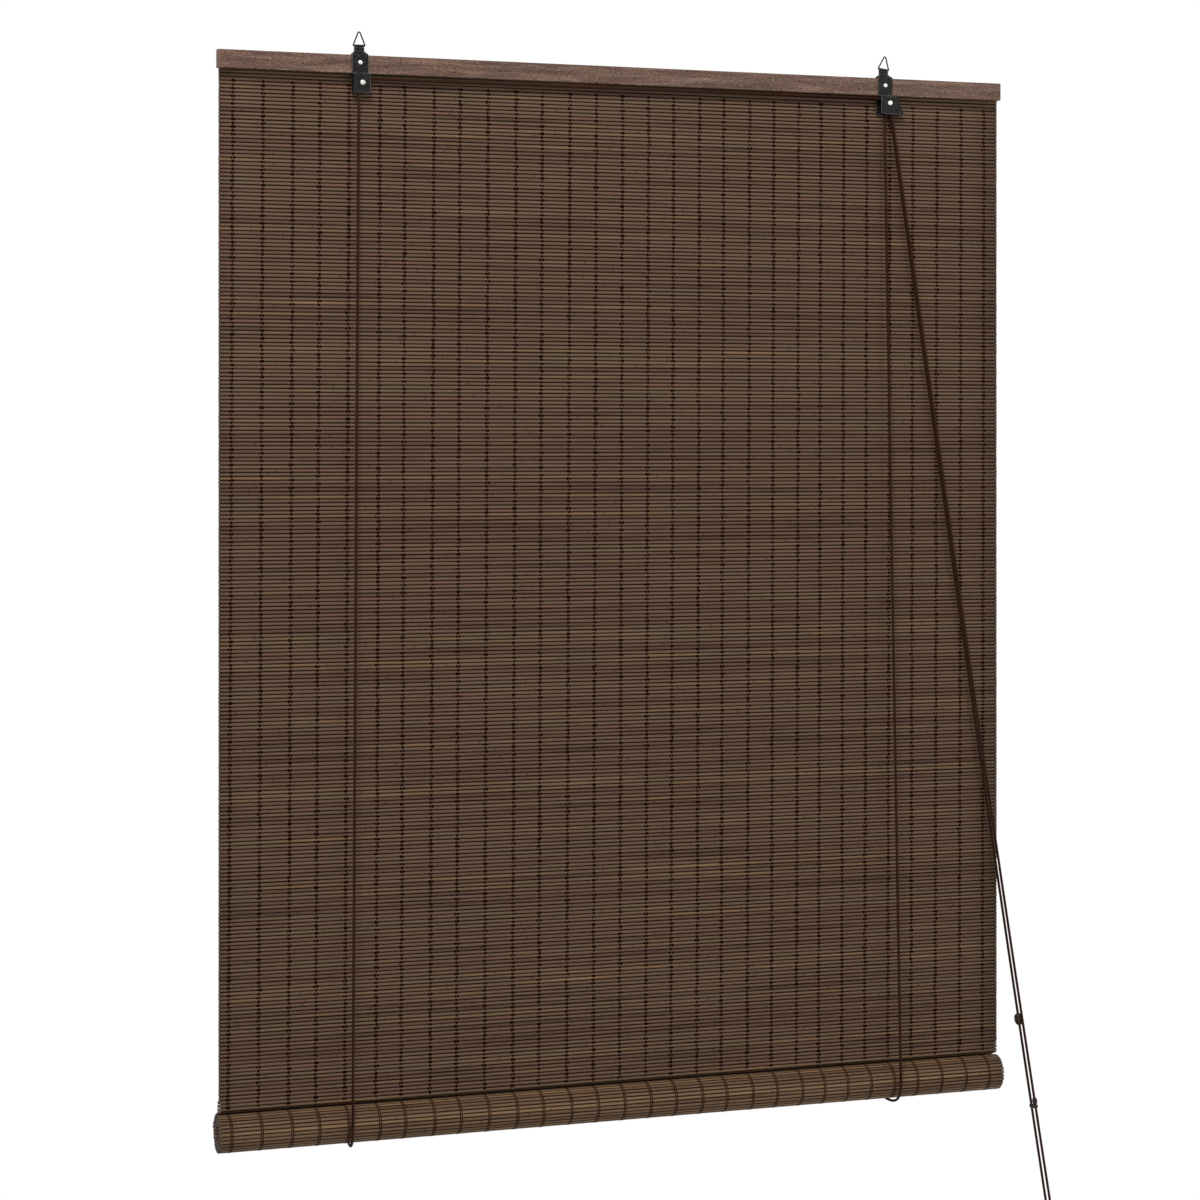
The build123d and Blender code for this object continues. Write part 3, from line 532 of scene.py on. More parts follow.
def put_mesh(name: str, points: np.ndarray, faces: list[np.ndarray], uv_name: str = "",
             uv: np.ndarray | None = None, slots: np.ndarray | None = None,
             flat: np.ndarray | None = None) -> bpy.types.Object:
    """Makes a mesh object at the origin from whole arrays.

    Args:
        name: the piece's name.
        points: place of each vertex, n by 3.
        faces: arrays of vertex numbers, each of faces with one count of corners.
        uv_name: name of the UV map.
        uv: a pair for each corner, in the faces' order.
        slots: material slot of each face.
        flat: 1 for each face that is shaded flat.

    Returns:
        The object, linked to the scene.
    """
    corners = np.concatenate([f.ravel() for f in faces])
    counts = np.concatenate([np.full(len(f), f.shape[1]) for f in faces])
    starts = np.concatenate([[0], np.cumsum(counts)[:-1]])
    mesh = bpy.data.meshes.new(name)
    mesh.vertices.add(len(points))
    mesh.vertices.foreach_set("co", points.astype(np.float32).ravel())
    mesh.loops.add(len(corners))
    mesh.loops.foreach_set("vertex_index", corners.astype(np.int32))
    mesh.polygons.add(len(counts))
    mesh.polygons.foreach_set("loop_start", starts.astype(np.int32))
    if slots is not None:
        mesh.polygons.foreach_set("material_index", slots.astype(np.int32))
    mesh.update(calc_edges=True)
    smooth = np.ones(len(counts), bool) if flat is None else ~flat.astype(bool)
    mesh.polygons.foreach_set("use_smooth", smooth)
    if uv is not None:
        layer = mesh.uv_layers.new(name=uv_name)
        layer.data.foreach_set("uv", uv.astype(np.float32).ravel())
    mesh.validate()
    made = bpy.data.objects.new(name, mesh)
    bpy.context.scene.collection.objects.link(made)
    return made


def dress(piece: bpy.types.Object, materials: list[bpy.types.Material],
          node: str = "") -> None:
    """Gives a piece its materials, in place of any it has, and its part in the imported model.

    Args:
        piece: the piece.
        materials: its materials, in slot order.
        node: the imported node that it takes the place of, if any.
    """
    piece.data.materials.clear()
    for material in materials:
        piece.data.materials.append(material)
    if node:
        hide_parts(node)


def circle(count: int) -> np.ndarray:
    """Angles of points that stand evenly round a circle."""
    return np.arange(count) / count * 2 * np.pi


def unit(vectors: np.ndarray) -> np.ndarray:
    """Vectors brought to a length of 1."""
    return vectors / np.linalg.norm(vectors, axis=-1, keepdims=True)


def run_length(line: np.ndarray) -> np.ndarray:
    """Distance of each point from the first, along the line."""
    return np.concatenate([[0], np.cumsum(np.linalg.norm(np.diff(line, axis=0), axis=1))])


def ring_quads(rows: int, sides: int) -> np.ndarray:
    """Joins rings of points that follow one another.

    Args:
        rows: how many rings there are.
        sides: points in each ring.

    Returns:
        Four vertex numbers for each quad, ring by ring.
    """
    i = np.arange(rows - 1)[:, None] * sides
    p = np.arange(sides)[None, :]
    q = (p + 1) % sides
    return np.stack([i + p, i + sides + p, i + sides + q, i + q], -1).reshape(-1, 4)


def quad_uv(u0: np.ndarray, u1: np.ndarray, v0: np.ndarray, v1: np.ndarray) -> np.ndarray:
    """UV pair of each corner, in the order of ring_quads."""
    pairs = ((u0, v0), (u1, v0), (u1, v1), (u0, v1))
    return np.stack([np.stack(pair, -1) for pair in pairs], -2).reshape(-1, 2)


def node_box(name: str) -> tuple[np.ndarray, np.ndarray]:
    """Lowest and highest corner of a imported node."""
    low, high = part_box(name)
    return np.array(low), np.array(high)


@dataclass
class SlatRun:
    """Slats one beside the other along a path in Y and Z.

    Each slat's section is a superellipse, s = a |cos t| ** p and n = b |sin t| ** p with the
    signs of cos t and sin t, carried along X with a slow waviness.
    """

    name: str
    middle: np.ndarray
    travel: np.ndarray
    left: float
    right: float
    first: int = 0
    half_width: float = 0.00235
    half_thick: float = HALF_SLAT
    power: float = 0.72
    section: int = 10
    spans: int = 24
    waviness: float = 0.0002
    end_play: float = 0.0004
    seed: int = 7

    def build(self) -> bpy.types.Object:
        """Makes all slats as one mesh.

        Returns:
            The piece, with its faces in slot 0 and its sawn ends in slot 1.
        """
        rng = np.random.default_rng(self.seed)
        slats, spans, sides = len(self.middle), self.spans, self.section
        turn = (np.arange(sides) + 0.5) / sides * 2 * np.pi
        s, n = (np.sign(v) * np.abs(v) ** self.power for v in (np.cos(turn), np.sin(turn)))
        share = np.linspace(0, 1, spans + 1)
        ends = rng.uniform(-1, 1, (2, slats)) * self.end_play
        x0, x1 = self.left + np.abs(ends[0]), self.right - np.abs(ends[1])
        x = x0[:, None] + (x1 - x0)[:, None] * share
        phase = rng.uniform(0, 2 * np.pi, (3, slats, 1))
        pace = rng.uniform(4, 11, (3, slats, 1))
        wave = sum(np.sin(x * pace[k] + phase[k]) for k in range(3)) / 3
        width = 1 + 0.05 * np.sin(x * pace[1] * 1.7 + phase[0]) - 0.03
        thick = 1 + rng.uniform(-0.12, 0.0, (slats, 1)) * np.ones_like(x)
        across = self.waviness * wave[..., None] + self.half_width * width[..., None] * s
        out = self.half_thick * thick[..., None] * n
        ty, tz = self.travel[:, 0, None, None], self.travel[:, 1, None, None]
        y = self.middle[:, 0, None, None] + ty * across + tz * out
        z = self.middle[:, 1, None, None] + tz * across - ty * out
        points = np.stack([np.broadcast_to(x[..., None], y.shape), y, z], -1).reshape(-1, 3)
        first = np.arange(slats)[:, None] * (spans + 1) * sides
        walls = (first[..., None] + ring_quads(spans + 1, sides)).reshape(-1, 4)
        ring = np.arange(sides)
        caps = np.concatenate([first + ring, first + spans * sides + ring[::-1]])
        p = ring[None, None, :]
        q = (p + 1) % sides
        side = np.where(np.sin((p + 1) / sides * 2 * np.pi) > 1e-6, Face.ROOM.value, Face.WINDOW.value)
        number = np.arange(slats)[:, None, None] + self.first + side
        place = 0.5 + 0.47 * s
        v0, v1 = np.broadcast_to(number + place[p], (slats, 1, sides)), number + place[q]
        span = np.ones((slats, spans, sides))
        uv_walls = quad_uv(x[:, :-1, None] * span, x[:, 1:, None] * span, v0 * span, v1 * span)
        uv_caps = np.zeros((caps.size, 2))
        slots = np.concatenate([np.zeros(len(walls)), np.ones(len(caps))])
        return put_mesh(self.name, points, [walls, caps], "slats",
                        np.concatenate([uv_walls, uv_caps]), slots, slots)


def stitch_columns(left: float, right: float, margin: float) -> np.ndarray:
    """X of each column of stitching: even places, each with the play of a hand-fed machine."""
    play = (0.0, 2.5, 5.2, 3.9, 5.8, 10.8, 7.4, 10.1, 8.7, 10.4, 12.5, 11.8, 14.1, 14.5, 14.9,
            15.3, 14.3, 15.1, 13.1, 14.4, 12.9, 13.1, 8.8, 6.2, 3.9, 1.8, 0.0, 0.1, 0.4, -0.9)
    return np.linspace(left + margin, right - margin, len(play)) + np.array(play) / 1000


@dataclass
class Stitches:
    """Short dark bits of thread in the grooves on the room face, a pair and a single by turns."""

    name: str
    columns: np.ndarray
    heights: np.ndarray
    face_y: float
    drift: np.ndarray
    half_width: float = 0.0021
    half_height: float = 0.0029
    proud: float = 0.0009
    sunk: float = 0.0003
    spread: float = 0.0015
    seed: int = 11

    def build(self) -> bpy.types.Object:
        """Makes each bit as a low six-sided dome, its rim at (cos a, sin a) times its half sizes."""
        rng = np.random.default_rng(self.seed)
        places = []
        for number, x in enumerate(self.columns[:, None] + self.drift):
            pair = (np.arange(len(self.heights)) + number) % 2 == 0
            for chosen, offset in ((pair, -self.spread), (pair, self.spread), (~pair, 0.0)):
                places.append(np.stack([x[chosen] + offset, self.heights[chosen]], -1))
        places = np.concatenate(places)
        places = places + rng.normal(0, 1, places.shape) * (0.00035, 0.0002)
        size = rng.uniform(0.8, 1.2, (len(places), 1))
        a = circle(6) + np.pi / 6
        rim_x = places[:, 0, None] + self.half_width * size * np.cos(a)
        rim_z = places[:, 1, None] + self.half_height * size * np.sin(a)
        rim = np.stack([rim_x, np.full_like(rim_x, self.face_y + self.sunk), rim_z], -1)
        top = np.stack([places[:, 0], np.full(len(places), self.face_y - self.proud), places[:, 1]], -1)
        points = np.concatenate([top[:, None], rim], 1).reshape(-1, 3)
        base = np.arange(len(places))[:, None, None] * 7
        ring = np.arange(6)
        fan = np.stack([np.zeros(6, int), 1 + ring, 1 + (ring + 1) % 6], -1)
        faces = (base + fan).reshape(-1, 3)
        return put_mesh(self.name, points, [faces])


@dataclass
class ThreadLines:
    """Twin threads that run over the slats, rising on each slat and dipping into each groove.

    Along slat k the height is proud |sin(pi s)| above the groove, with s from 0 to 1 across it.
    """

    name: str
    columns: np.ndarray
    middle: np.ndarray
    travel: np.ndarray
    half_width: float = 0.0004
    apart: float = 0.0011
    proud: float = 0.00022

    def build(self) -> bpy.types.Object:
        """Makes each line as a strip with a raised middle, three points across."""
        slats = len(self.middle)
        steps = np.arange(slats * 2 + 1)
        owner = np.minimum(steps // 2, slats - 1)
        within = (steps / 2 - owner - 0.5) * SLAT_PITCH
        travel = self.travel[owner]
        y, z = (self.middle[owner] + travel * within[:, None]).T
        ny, nz = -travel[:, 1], travel[:, 0]
        lift = np.where(steps % 2 == 1, HALF_SLAT + self.proud, HALF_SLAT * 0.55)
        sides = np.array([-self.apart / 2, self.apart / 2])
        x = (self.columns[:, None] + sides[None, :]).reshape(-1)
        across = np.array([-self.half_width, 0, self.half_width])
        low = np.array([-0.0002, 0.0, -0.0002])
        shape = (len(x), len(steps), 3)
        px = np.broadcast_to(x[:, None, None] + across, shape)
        h = lift[:, None] + low
        py = np.broadcast_to(y[:, None] + ny[:, None] * h, shape)
        pz = np.broadcast_to(z[:, None] + nz[:, None] * h, shape)
        points = np.stack([px, py, pz], -1).reshape(-1, 3)
        i = np.arange(len(x))[:, None, None] * len(steps) * 3
        j = np.arange(len(steps) - 1)[None, :, None] * 3
        c = np.arange(2)[None, None, :]
        faces = np.stack([i + j + c, i + j + c + 1, i + j + 3 + c + 1, i + j + 3 + c], -1).reshape(-1, 4)
        return put_mesh(self.name, points, [faces])


@dataclass
class RollPath:
    """The mat's way from the hanging part's foot, round the bend and down the spiral.

    The spiral's radius falls by pitch / 360 for each degree, and joints between slats lie at
    equal lengths along the whole way.
    """

    middle_y: float
    foot_z: float
    centre_y: float
    centre_z: float
    radius: float = 0.0283
    turn_pitch: float = 0.0029
    turns: float = 6.0
    join_angle: float = 5.0
    bend: float = 0.0034

    def slats(self) -> tuple[np.ndarray, np.ndarray]:
        """Works out the slats' places.

        Returns:
            The middle of each slat and its unit direction of travel, as Y and Z.
        """
        turn = np.arange(0, 360 * self.turns + 1)
        r = self.radius - HALF_SLAT - self.turn_pitch * turn / 360
        a = np.radians(self.join_angle + turn)
        spiral = np.stack([self.centre_y + r * np.sin(a), self.centre_z + r * np.cos(a)], -1)
        slope = np.radians(self.join_angle)
        y1, z1 = spiral[0]
        corner = z1 + (y1 - self.middle_y) * np.tan(slope)
        sweep = np.pi / 2 - slope
        cut = self.bend * np.tan(sweep / 2)
        b = np.linspace(0, sweep, 60)
        arc = np.stack([self.middle_y + self.bend * (1 - np.cos(b)),
                        corner + cut - self.bend * np.sin(b)], -1)
        start = np.array([[self.middle_y, self.foot_z]])
        way = np.concatenate([start, arc, spiral])
        length = run_length(way)
        marks = np.arange(0, length[-1], SLAT_PITCH)
        joints = np.stack([np.interp(marks, length, way[:, 0]), np.interp(marks, length, way[:, 1])], -1)
        return (joints[:-1] + joints[1:]) / 2, unit(np.diff(joints, axis=0))


@dataclass
class Mat:
    """The slats, their stitching and the roll.

    The stitches start at the first groove that the rail leaves open, and go on for tail_rows on
    the roll's tail. The roll stands a little further left than the hanging part (shifted).
    Slats are drawn in full along the tail and outer_share of the roll's girth.
    """

    palette: Palette
    slat_count: int = 270
    margin: float = 0.0205
    shifted: float = 0.0016
    first_groove: int = 5
    tail_rows: int = 3
    outer_share: float = 1.15
    tail: float = 0.045
    core_half: float = 0.0003
    folded: float = 0.0185
    path: RollPath = field(init=False)

    def __post_init__(self) -> None:
        """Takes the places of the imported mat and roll."""
        self.low, self.high = node_box("hanging_mat")
        self.pitch = (self.high[2] - self.low[2]) / self.slat_count
        middle_y = (self.low[1] + self.high[1]) / 2
        centre = sum(node_box("bottom_batten")) / 2
        self.path = RollPath(middle_y, self.low[2], centre[1], centre[2])
        self.stitches_x = stitch_columns(self.low[0], self.high[0], self.margin)
        self.lean = np.linspace(-0.007, -0.003, len(self.stitches_x))

    def build(self) -> list[bpy.types.Object]:
        """Builds and dresses every piece of the mat.

        Returns:
            The pieces.
        """
        return self._hanging() + self._rolled()

    def _hanging(self) -> list[bpy.types.Object]:
        """Flat part: slats, a dark core of painted shadow, stitches in front and twin threads behind."""
        top = self.high[2]
        k = np.arange(self.slat_count)
        middle = np.stack([np.full(self.slat_count, self.path.middle_y), top - (k + 0.5) * self.pitch], -1)
        travel = np.tile([0.0, -1.0], (self.slat_count, 1))
        slats = SlatRun("hanging_slats", middle, travel, self.low[0], self.high[0]).build()
        dress(slats, [self.palette.bamboo, self.palette.cut], "hanging_mat")
        core = self._core()
        heights = top - np.arange(self.first_groove, self.slat_count) * self.pitch
        drift = self.lean[:, None] * np.linspace(0, 1, len(heights))
        stitches = Stitches("front_stitches", self.stitches_x, heights, self.low[1], drift).build()
        dress(stitches, [self.palette.thread], "mat_threads")
        lines = ThreadLines("back_threads", self.stitches_x, middle, travel).build()
        dress(lines, [self.palette.back_thread])
        pieces = [slats, core, stitches, lines]
        for piece in pieces:
            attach(piece, "rail_frame")
            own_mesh(piece)
        return pieces

    def _core(self) -> bpy.types.Object:
        """Dark wall of painted shadow in the middle of the mat's thickness that closes the grooves."""
        low = np.array([self.low[0] + 0.001, self.path.middle_y - self.core_half, self.low[2] - 0.0004])
        high = np.array([self.high[0] - 0.001, self.path.middle_y + self.core_half, self.high[2] - 0.001])
        bits = np.array([[i >> 2 & 1, i >> 1 & 1, i & 1] for i in range(8)])
        points = low + bits * (high - low)
        faces = np.array([[0, 1, 3, 2], [4, 6, 7, 5], [0, 4, 5, 1], [2, 3, 7, 6], [0, 2, 6, 4], [1, 5, 7, 3]])
        core = put_mesh("mat_core", points, [faces], flat=np.ones(6))
        dress(core, [self.palette.core])
        return core

    def _rolled(self) -> list[bpy.types.Object]:
        """Roll and its tail: fine slats outside, plain ones inside, and threads on the outer turn."""
        middle, travel = self.path.slats()
        seen = int((2 * np.pi * self.path.radius * self.outer_share + self.tail) / SLAT_PITCH)
        outer_middle, outer_travel = middle[:seen], travel[:seen]
        left, right = self.low[0] - self.shifted, self.high[0]
        outer = SlatRun("roll_slats", outer_middle, outer_travel, left, right, first=self.slat_count,
                        end_play=0.0009, seed=9, half_width=0.0024).build()
        inner = SlatRun("roll_inner_slats", middle[seen:], travel[seen:], left, right,
                        first=self.slat_count + seen, spans=2, waviness=0.0, end_play=0.0014, seed=10,
                        half_width=0.0024).build()
        dress(outer, [self.palette.bamboo, self.palette.cut], "mat_roll")
        dress(inner, [self.palette.bamboo, self.palette.cut])
        lines = ThreadLines("roll_threads", self.stitches_x + self.lean, outer_middle, outer_travel,
                            half_width=0.0009, apart=0.0027, proud=0.0004).build()
        dress(lines, [self.palette.back_thread])
        core = self._roll_core(outer_middle, outer_travel)
        heights = self.low[2] - np.arange(self.tail_rows) * SLAT_PITCH
        ties = Stitches("tail_stitches", self.stitches_x, heights, self.low[1],
                        self.lean[:, None] * np.ones(len(heights)), seed=12).build()
        dress(ties, [self.palette.thread])
        pieces = [outer, inner, core, lines, ties]
        for piece in pieces:
            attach(piece, "roll")
        return pieces

    def _roll_core(self, middle: np.ndarray, travel: np.ndarray) -> bpy.types.Object:
        """Dark band of painted shadow in the middle of the outer slats' thickness that closes their grooves.
        """
        half = SLAT_PITCH / 2
        line = np.concatenate([middle - travel * half, middle[-1:] + travel[-1:] * half])
        way = np.concatenate([travel, travel[-1:]])
        out = np.stack([way[:, 1], -way[:, 0]], -1) * self.core_half
        x0, x1 = self.low[0] + 0.003, self.high[0] - 0.003
        rows = [np.column_stack([np.full(len(line), x), line + side * out])
                for x, side in ((x0, 1), (x1, 1), (x1, -1), (x0, -1))]
        points = np.stack(rows, 1).reshape(-1, 3)
        walls = ring_quads(len(line), 4)[:, FLIPPED]
        last = (len(line) - 1) * 4
        lids = np.array([[3, 2, 1, 0], [last, last + 1, last + 2, last + 3]])
        core = put_mesh("roll_core", points, [walls, lids], flat=np.ones(len(walls) + 2))
        dress(core, [self.palette.core])
        return core


def spline_points(route: np.ndarray) -> np.ndarray:
    """Reads the smooth line of a cord's route.

    Args:
        route: the route's control points, n by 3.

    Returns:
        Points along the NURBS spline of order 3 that ends at the first and last point.
    """
    curve = bpy.data.curves.new("route", "CURVE")
    curve.dimensions = "3D"
    spline = curve.splines.new("NURBS")
    spline.points.add(len(route) - 1)
    spline.points.foreach_set("co", np.column_stack([route, np.ones(len(route))]).ravel())
    spline.order_u = 3
    spline.use_endpoint_u = True
    spline.resolution_u = 24
    holder = bpy.data.objects.new("route", curve)
    bpy.context.scene.collection.objects.link(holder)
    mesh = bpy.data.meshes.new_from_object(holder)
    line = np.zeros(len(mesh.vertices) * 3)
    mesh.vertices.foreach_get("co", line)
    bpy.data.objects.remove(holder)
    bpy.data.curves.remove(curve)
    bpy.data.meshes.remove(mesh)
    return line.reshape(-1, 3)


@dataclass
class CordRun:
    """One run of cord: a round tube along a smooth route.

    A ring of points p + r (cos a e1 + sin a e2) stands square to the line at each point p.
    """

    name: str
    route: tuple[Place, ...]
    body: str = "rail_frame"
    sides: int = 12
    facing: Place = (0.0, 1.0, 0.0)

    def build(self) -> tuple[bpy.types.Object, np.ndarray]:
        """Makes the tube. Its route never runs along the facing direction.

        Returns:
            The piece and the line that it follows.
        """
        line = spline_points(np.array(self.route, float))
        line = line[np.concatenate([[True], np.diff(run_length(line)) > 1e-7])]
        along = unit(np.gradient(line, axis=0))
        first = unit(np.cross(along, np.array(self.facing)))
        second = np.cross(along, first)
        a = circle(self.sides)[None, :, None]
        rings = line[:, None] + CORD_DIAMETER / 2 * (np.cos(a) * first[:, None] + np.sin(a) * second[:, None])
        ring = np.arange(self.sides)
        caps = np.stack([ring[::-1], ring + (len(line) - 1) * self.sides])
        length = run_length(line)
        ones = np.ones((len(line) - 1, self.sides))
        v = ring / self.sides * ones
        uv = quad_uv(v, v + 1 / self.sides, length[:-1, None] * ones, length[1:, None] * ones)[:, ::-1]
        uv = np.concatenate([uv, np.zeros((caps.size, 2))])
        walls = ring_quads(len(line), self.sides)[:, FLIPPED]
        piece = put_mesh(self.name, rings.reshape(-1, 3), [walls, caps], "cord", uv)
        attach(piece, self.body)
        return piece, line


@dataclass
class Turned:
    """A turned body, with its profile carried round an axis.

    Each point of the profile is a radius and a height; the profile's corners are cut twice, at a
    quarter and three quarters of each side, and a profile that ends on the axis closes in poles.
    """

    origin: np.ndarray
    axis: np.ndarray
    profile: tuple[tuple[float, float], ...]
    sides: int = 40
    cuts: int = 2

    def build(self) -> tuple[np.ndarray, list[np.ndarray]]:
        """Works out the surface.

        Returns:
            The vertices, and the quads and triangles.
        """
        line = np.array(self.profile, float)
        for _ in range(self.cuts):
            first, second = line[:-1], line[1:]
            cut = np.stack([0.75 * first + 0.25 * second, 0.25 * first + 0.75 * second], 1).reshape(-1, 2)
            line = np.concatenate([line[:1], cut[1:-1], line[-1:]])
        axis = unit(np.array(self.axis, float))
        e1 = unit(np.cross(axis, (0.0, 1.0, 0.0) if abs(axis[1]) < 0.9 else (1.0, 0.0, 0.0)))
        a = circle(self.sides)[:, None]
        around = np.cos(a) * e1 + np.sin(a) * np.cross(axis, e1)
        radius, height = line[:, 0, None, None], line[:, 1, None, None]
        points = (self.origin + height * axis + radius * around).reshape(-1, 3)
        rows = len(line)
        ring = np.arange(self.sides)
        lids = np.stack([ring, ring[::-1] + (rows - 1) * self.sides])
        return points, [ring_quads(rows, self.sides), lids]


def shell(dia: float, length: float, hole: float) -> tuple[tuple[float, float], ...]:
    """Profile of a bead, rounder above and slimmer below, from its hole's top rim to the bottom one."""
    r = dia / 2
    return ((hole, length * 0.5), (r * 0.64, length * 0.46), (r * 0.94, length * 0.3),
            (r * 1.02, length * 0.06), (r * 0.97, -length * 0.16), (r * 0.76, -length * 0.34),
            (r * 0.46, -length * 0.46), (hole, -length * 0.5))


def join_parts(parts: list[tuple[np.ndarray, list[np.ndarray]]]) -> tuple[np.ndarray, list[np.ndarray]]:
    """Puts several surfaces into one, each a pair of vertices and arrays of faces."""
    starts = np.cumsum([0] + [len(points) for points, _ in parts[:-1]])
    faces = [f + start for start, (_, arrays) in zip(starts, parts) for f in arrays]
    return np.concatenate([points for points, _ in parts]), faces


@dataclass
class Knot:
    """Overhand knot pulled tight: cord of its own thickness along a three-lobed route.

    Lobes lie at (sin t + 2 sin 2t, cos t - 2 cos 2t, -sin 3t) for t from 0 to a full turn.
    """

    name: str
    centre: Place
    width: float

    def build(self) -> bpy.types.Object:
        """Makes the knot."""
        t = np.linspace(0, 2 * np.pi, 19)
        lobes = np.stack([np.sin(t) + 2 * np.sin(2 * t), -np.sin(3 * t), np.cos(t) - 2 * np.cos(2 * t)], -1)
        route = np.array(self.centre) + lobes * (self.width - CORD_DIAMETER) / 6
        return CordRun(self.name, tuple(map(tuple, route)), sides=10, facing=(0.13, 0.95, 0.28)).build()[0]


@dataclass(frozen=True)
class PullCord:
    """One pull cord: its route from the lock's lip, and how far its pieces lie down it."""

    name: str
    start: Place
    bend: Place
    end: Place
    lead: float = 0.023

    def route(self) -> tuple[Place, ...]:
        """Route's points: the lip, six diameters below it, the slight bend and the end."""
        start = np.array(self.start)
        below = start + unit(np.array(self.bend) - start) * self.lead
        return (self.start, tuple(below), self.bend, self.end)

    def direction(self) -> np.ndarray:
        """Unit vector down the lower part."""
        return unit(np.array(self.end) - np.array(self.bend))


@dataclass
class Cords:
    """Lift cords, transfer cord, pull cords and what is on them."""

    palette: Palette
    pull_length: float = 1.69
    folded_front: float = 0.0329
    folded_back: float = 0.0442
    staple_z: float = -0.052096
    front: PullCord = PullCord("pull_cord_right_strand", (0.415564, -0.002709, -0.08606),
                               (0.582424, -0.005855, -1.157992), (0.683278, -0.00761, -1.754692))
    back: PullCord = PullCord("pull_cord_left_strand", (0.415559, 0.0015, -0.086061),
                              (0.580736, 0.0015, -1.158259), (0.680861, 0.0015, -1.755084))

    def build(self) -> list[bpy.types.Object]:
        """Builds and dresses every cord.

        Returns:
            The pieces.
        """
        return self._lifts() + self._over_lock() + self._pulls()

    def _run(self, name: str, node: str, route: tuple[Place, ...], body: str = "rail_frame",
             facing: Place = (0.0, 1.0, 0.0)) -> tuple[bpy.types.Object, np.ndarray]:
        """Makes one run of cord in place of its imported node."""
        piece, line = CordRun(name, route, body, facing=facing).build()
        dress(piece, [self.palette.cord], node)
        return piece, line

    def _knot(self, name: str, centre: Place, width: float, node: str = "") -> bpy.types.Object:
        """Makes one knot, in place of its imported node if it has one."""
        piece = Knot(name, centre, width).build()
        dress(piece, [self.palette.cord], node)
        return piece

    def _lifts(self) -> list[bpy.types.Object]:
        """Lift cords: a run in front of the mat, a turn under the roll and a run behind, with its knot."""
        made = []
        sides = (
            ("left", ((-0.4042, -0.0027, -0.069596), (-0.4182, -0.0224, -1.522096)),
             ((-0.4182, -0.0224, -1.522096), (-0.418494, -0.022814, -1.552592),
              (-0.410324, 0.03919, -1.552592), (-0.4102, 0.0386, -1.522096)),
             ((-0.4102, 0.0386, -1.522096), (-0.4042, 0.01015, -0.0515)), (-0.404184, 0.0113, -0.048147)),
            ("right", ((0.405, 0.0015, -0.067596), (0.421, -0.0224, -1.522096)),
             ((0.421, -0.0224, -1.522096), (0.421335, -0.022901, -1.55259),
              (0.413166, 0.03919, -1.552592), (0.413, 0.0386, -1.522096)),
             ((0.413, 0.0386, -1.522096), (0.405, 0.01015, -0.0515)), (0.404979, 0.0113, -0.048147)),
        )
        for side, front, loop, back, tie in sides:
            run, _ = self._run(f"lift_braid_front_{side}", f"lift_cord_front_{side}", front)
            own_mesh(run)
            turn, _ = self._run(f"lift_braid_loop_{side}", f"lift_cord_loop_{side}", loop, "roll",
                                (1.0, 0.0, 0.0))
            rear, _ = self._run(f"lift_braid_back_{side}", f"lift_cord_back_{side}", back)
            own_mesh(rear)
            knot = self._knot(f"lift_knot_{side}", tie, 0.0064)
            made += [run, turn, rear, knot]
        return made

    def _over_lock(self) -> list[bpy.types.Object]:
        """Cord from the left pulley along the rail, and both cords over the lock pulley to the lip."""
        transfer, _ = self._run("transfer_braid", "transfer_cord", (
            (-0.4042, -0.0027, -0.069596), (-0.40485, -0.00265, -0.0632), (-0.381, -0.0027, -0.064324),
            (0.395, -0.0027, -0.061189), (0.418, -0.0027, -0.061096), (0.418, -0.0027, -0.068224),
            (0.4151, -0.0027, -0.083096), self.front.start))
        wrap, _ = self._run("lock_braid", "lock_cord_wrap", (
            (0.405, 0.0015, -0.067596), (0.404928, 0.001607, -0.061097), (0.418, 0.0015, -0.061096),
            (0.418, 0.0015, -0.068224), (0.4151, 0.0015, -0.083096), self.back.start))
        return [transfer, wrap]

    def _pulls(self) -> list[bpy.types.Object]:
        """Pull cords with their end knots, the bead and the clip."""
        front, front_line = self._run(self.front.name, "pull_cord_front", self.front.route())
        back, back_line = self._run(self.back.name, "pull_cord_back", self.back.route())
        front_knot = self._knot("pull_knot_right", (0.683979, -0.007622, -1.758884), 0.0085, "end_knot_front")
        back_knot = self._knot("pull_knot_left", (0.681557, 0.0015, -1.759276), 0.0085, "end_knot_back")
        points, faces = Turned(np.array((0.629414, 0.0015, -1.445327)), -self.back.direction(),
                               shell(0.0134, 0.0185, 0.0017)).build()
        bead = put_mesh("turned_bead", points, faces)
        dress(bead, [self.palette.bead], "cord_bead")
        clip = self._clip()
        for piece in (bead, clip):
            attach(piece, "rail_frame")
        return [front, back, front_knot, back_knot, bead, clip]

    def _clip(self) -> bpy.types.Object:
        """Clip: a body threaded on the right strand, and an arm that holds the left one."""
        right, left = np.array((0.653569, -0.007088, -1.577161)), np.array((0.651369, 0.0015, -1.577516))
        middle, reach = (right + left) / 2, np.linalg.norm(left - right) / 2
        body = Turned(np.array((0.652249, -0.007064, -1.569271)), -self.front.direction(),
                      shell(0.0076, 0.0116, 0.0017)).build()
        r = 0.0034
        half = ((0.0004, reach + r), (r * 0.55, reach + r * 0.95), (r * 0.95, reach + r * 0.55), (r, reach))
        ends = (*half, (r * 0.93, 0.0), *((radius, -height) for radius, height in half[::-1]))
        arm = Turned(middle, left - right, ends).build()
        points, faces = join_parts([body, arm])
        clip = put_mesh("cord_clip", points, faces)
        dress(clip, [self.palette.connector], "cord_connector")
        return clip


